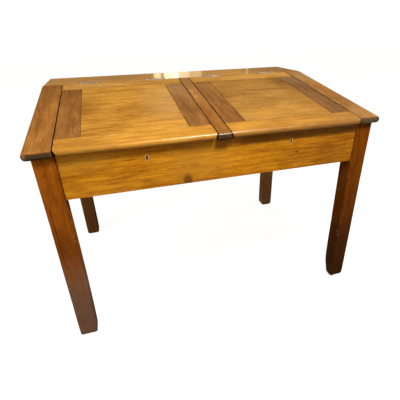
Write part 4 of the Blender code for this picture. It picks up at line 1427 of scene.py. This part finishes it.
for side in SIDES:
    for name, rounding in LOCK_ROUNDINGS.items():
        made = soft_piece(f"lock_{side}_{name}", rounding, LOCK_SHORTEST_ARRIS)
        dress(made, f"lock_{side}_{name}", lock_steel if name == "case" else brass)
        if name == "escutcheon":
            blacken_inside(made)
    heads = [screw_head(f"link_{side}_screw_{number}", -OFF_SLOPE) for number in (1, 2)]
    made = screws.run(f"link_screws_{side}", heads, ROUND_SCREW)
    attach(made, f"lid_{side}")
    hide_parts(f"link_{side}_screw_1", f"link_{side}_screw_2")
heads = [screw_head(f"lock_{side}_screw_{number}", Y_WAY) for side in SIDES for number in (1, 2)]
made = screws.run("lock_screws", heads, ROUND_SCREW)
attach(made, "desk")
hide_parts(*[f"lock_{side}_screw_{number}" for side in SIDES for number in (1, 2)])
print("lock screws", len(heads), "faces", len(made.data.polygons))

# %% [markdown]
# ## Floor and background
#
# The desk stands on a pale floor that runs out to a white background. What the camera and the
# reflections see of the floor is nearly white, with a faint shadow. For the light that the floor throws
# back up it is a mid tone, as a real wooden floor would be, so the underside of the desk stays dark.

# %% Lay the floor
FLOOR_HALF = 15.0
FLOOR_LEVEL = -0.0002
FLOOR_GLOW = 0.915
FLOOR_BOUNCE = paint(118, 108, 98)
SHADOW_GREY = (0.36, 0.36, 0.36, 1.0)
WHITE = (1.0, 1.0, 1.0, 1.0)


def seen_directly(nodes):
    """1 for what the camera, a reflection or clear glass sees, 0 for light that is scattered on."""
    rays = ("Is Camera Ray", "Is Glossy Ray", "Is Transmission Ray")
    camera_ray, glossy_ray, clear_ray = (nodes.add("ShaderNodeLightPath", output=ray) for ray in rays)
    return camera_ray.most(glossy_ray).most(clear_ray)


def floor_finish():
    finish = Finish("pale_floor")
    bounce = finish.add("ShaderNodeBsdfDiffuse", None, {"Color": FLOOR_BOUNCE})
    shadowed = finish.add("ShaderNodeBsdfDiffuse", None, {"Color": SHADOW_GREY})
    glow = finish.add("ShaderNodeEmission", None, {"Color": WHITE, "Strength": FLOOR_GLOW})
    pale = finish.add("ShaderNodeAddShader", None, {0: shadowed, 1: glow})
    both = {0: seen_directly(finish), 1: bounce, 2: pale}
    return finish.end_with(finish.add("ShaderNodeMixShader", None, both))


sheet = bpy.data.meshes.new("floor")
corners = [(x * FLOOR_HALF, y * FLOOR_HALF, FLOOR_LEVEL) for x, y in ((-1, -1), (1, -1), (1, 1), (-1, 1))]
sheet.from_pydata(corners, [], [(0, 1, 2, 3)])
sheet.materials.append(floor_finish())
floor = new_object("floor", sheet)
print("floor side", FLOOR_HALF * 2)

# %% Light the background
AMBIENT = 0.24
AMBIENT_COLOUR = (1.0, 0.97, 0.93, 1.0)

world = bpy.data.worlds.new("white_room")
bpy.context.scene.world = world
world.use_nodes = True
room = Nodes(world.node_tree)
scattered = room.add("ShaderNodeBackground", None, {"Color": AMBIENT_COLOUR, "Strength": AMBIENT})
white = room.add("ShaderNodeBackground", None, {"Color": WHITE, "Strength": 1.0})
sky = room.add("ShaderNodeMixShader", None, {0: seen_directly(room), 1: scattered, 2: white})
world.node_tree.links.new(sky.socket, world.node_tree.nodes["World Output"].inputs["Surface"])
print("ambient light", AMBIENT)

# %% [markdown]
# ## Light
#
# A small soft lamp high at the front right throws the shadow of the nosings on the apron, and a weak
# one far to the left lifts the shaded sides. Polished wood seen at a low angle mirrors what is behind
# it, and a white room would veil its colour. So a dark cloth hangs behind and overhead and runs forward
# along the floor, and only reflections see it. Bright stripes on it play the part of a distant window,
# whose panes shine in the shelf.

# %% Hang the lamps
LAMP_COLOUR = (1.0, 0.96, 0.90)


def soft_lamp(name, place, target, side, watts):
    lamp = bpy.data.lights.new(name, "AREA")
    lamp.shape = "RECTANGLE"
    lamp.size = side
    lamp.size_y = side
    lamp.energy = watts
    lamp.color = LAMP_COLOUR
    made = bpy.data.objects.new(name, lamp)
    way = Vector(target) - Vector(place)
    made.matrix_world = Matrix.Translation(place) @ way.to_track_quat("-Z", "Y").to_matrix().to_4x4()
    made.visible_camera = False
    bpy.context.scene.collection.objects.link(made)
    return made


soft_lamp("key", (0.42, -1.34, 2.46), (0.0, -0.3, 0.65), 0.5, 46.0)
fill_lamp = soft_lamp("fill", (-2.4, -1.0, 1.3), (0.2, -0.2, 0.4), 1.2, 24.0)
fill_lamp.visible_glossy = False

# %% Hang the cloth
CLOTH_HALF = 8.0
CLOTH_BACK = 5.0
CLOTH_TOP = 5.0
CLOTH_FRONT = -3.0
CARPET_FRONT = -0.7
CLOTH_DARK = (0.030, 0.024, 0.018, 1.0)
CLOTH_WARM = (0.44, 0.26, 0.10, 1.0)
WALL_BROWN = (0.18, 0.12, 0.06, 1.0)
FOLDS = (1.3, 0.5, 0.5)
PANE_BLUR = 0.02
PANE_TOP = (1.95, 1.75)
# Each pane's left and right side and its light.
WINDOW_PANES = (
    (0.47, 0.60, (1.80, 1.55, 0.90, 1.0)),
    (0.65, 0.86, (2.20, 2.10, 1.55, 1.0)),
    (0.86, 0.92, (3.20, 3.20, 2.80, 1.0)),
    (0.92, 1.13, (1.60, 1.35, 0.80, 1.0)),
    (1.13, 1.37, (1.10, 0.84, 0.44, 1.0)),
    (1.37, 2.20, (0.58, 0.32, 0.10, 1.0)),
    (2.26, 2.30, (1.10, 0.80, 0.45, 1.0)),
    (2.32, 2.50, (0.40, 0.27, 0.12, 1.0)),
)


def room_finish():
    """A dim room: warm near the floor, dark above, with a paler wall to the right."""
    finish = Finish("dim_room")
    place = finish.add("ShaderNodeTexCoord", output="Object")
    across = finish.part(place, 0)
    height = finish.part(place, 2)
    folds = finish.noise(place, FOLDS, 2)
    low = height.rise(2.1, 1.3) * height.rise(0.0, 0.5)
    colour = finish.mix(low * (0.7 + folds * 0.6), CLOTH_DARK, CLOTH_WARM)
    colour = finish.mix(across.rise(2.8, 3.8) * height.rise(4.2, 3.4), colour, WALL_BROWN)
    for left, right, light in WINDOW_PANES:
        pane = across.rise(left - PANE_BLUR, left + PANE_BLUR)
        pane = pane * across.rise(right + PANE_BLUR, right - PANE_BLUR)
        colour = finish.mix(pane * height.rise(*PANE_TOP), colour, light)
    return finish.end_with(finish.add("ShaderNodeEmission", None, {"Color": colour, "Strength": 1.0}))


cloth_mesh = bpy.data.meshes.new("dark_cloth")
rows = [(CARPET_FRONT, 0.0), (CLOTH_BACK, 0.0), (CLOTH_BACK, CLOTH_TOP), (CLOTH_FRONT, CLOTH_TOP)]
points = [(x, y, z) for y, z in rows for x in (-CLOTH_HALF, CLOTH_HALF)]
cloth_mesh.from_pydata(points, [], [(0, 1, 3, 2), (2, 3, 5, 4), (4, 5, 7, 6)])
cloth_mesh.materials.append(room_finish())
cloth = new_object("dark_cloth", cloth_mesh)
cloth.visible_camera = False
cloth.visible_diffuse = False
cloth.visible_shadow = False
print("window panes", len(WINDOW_PANES))
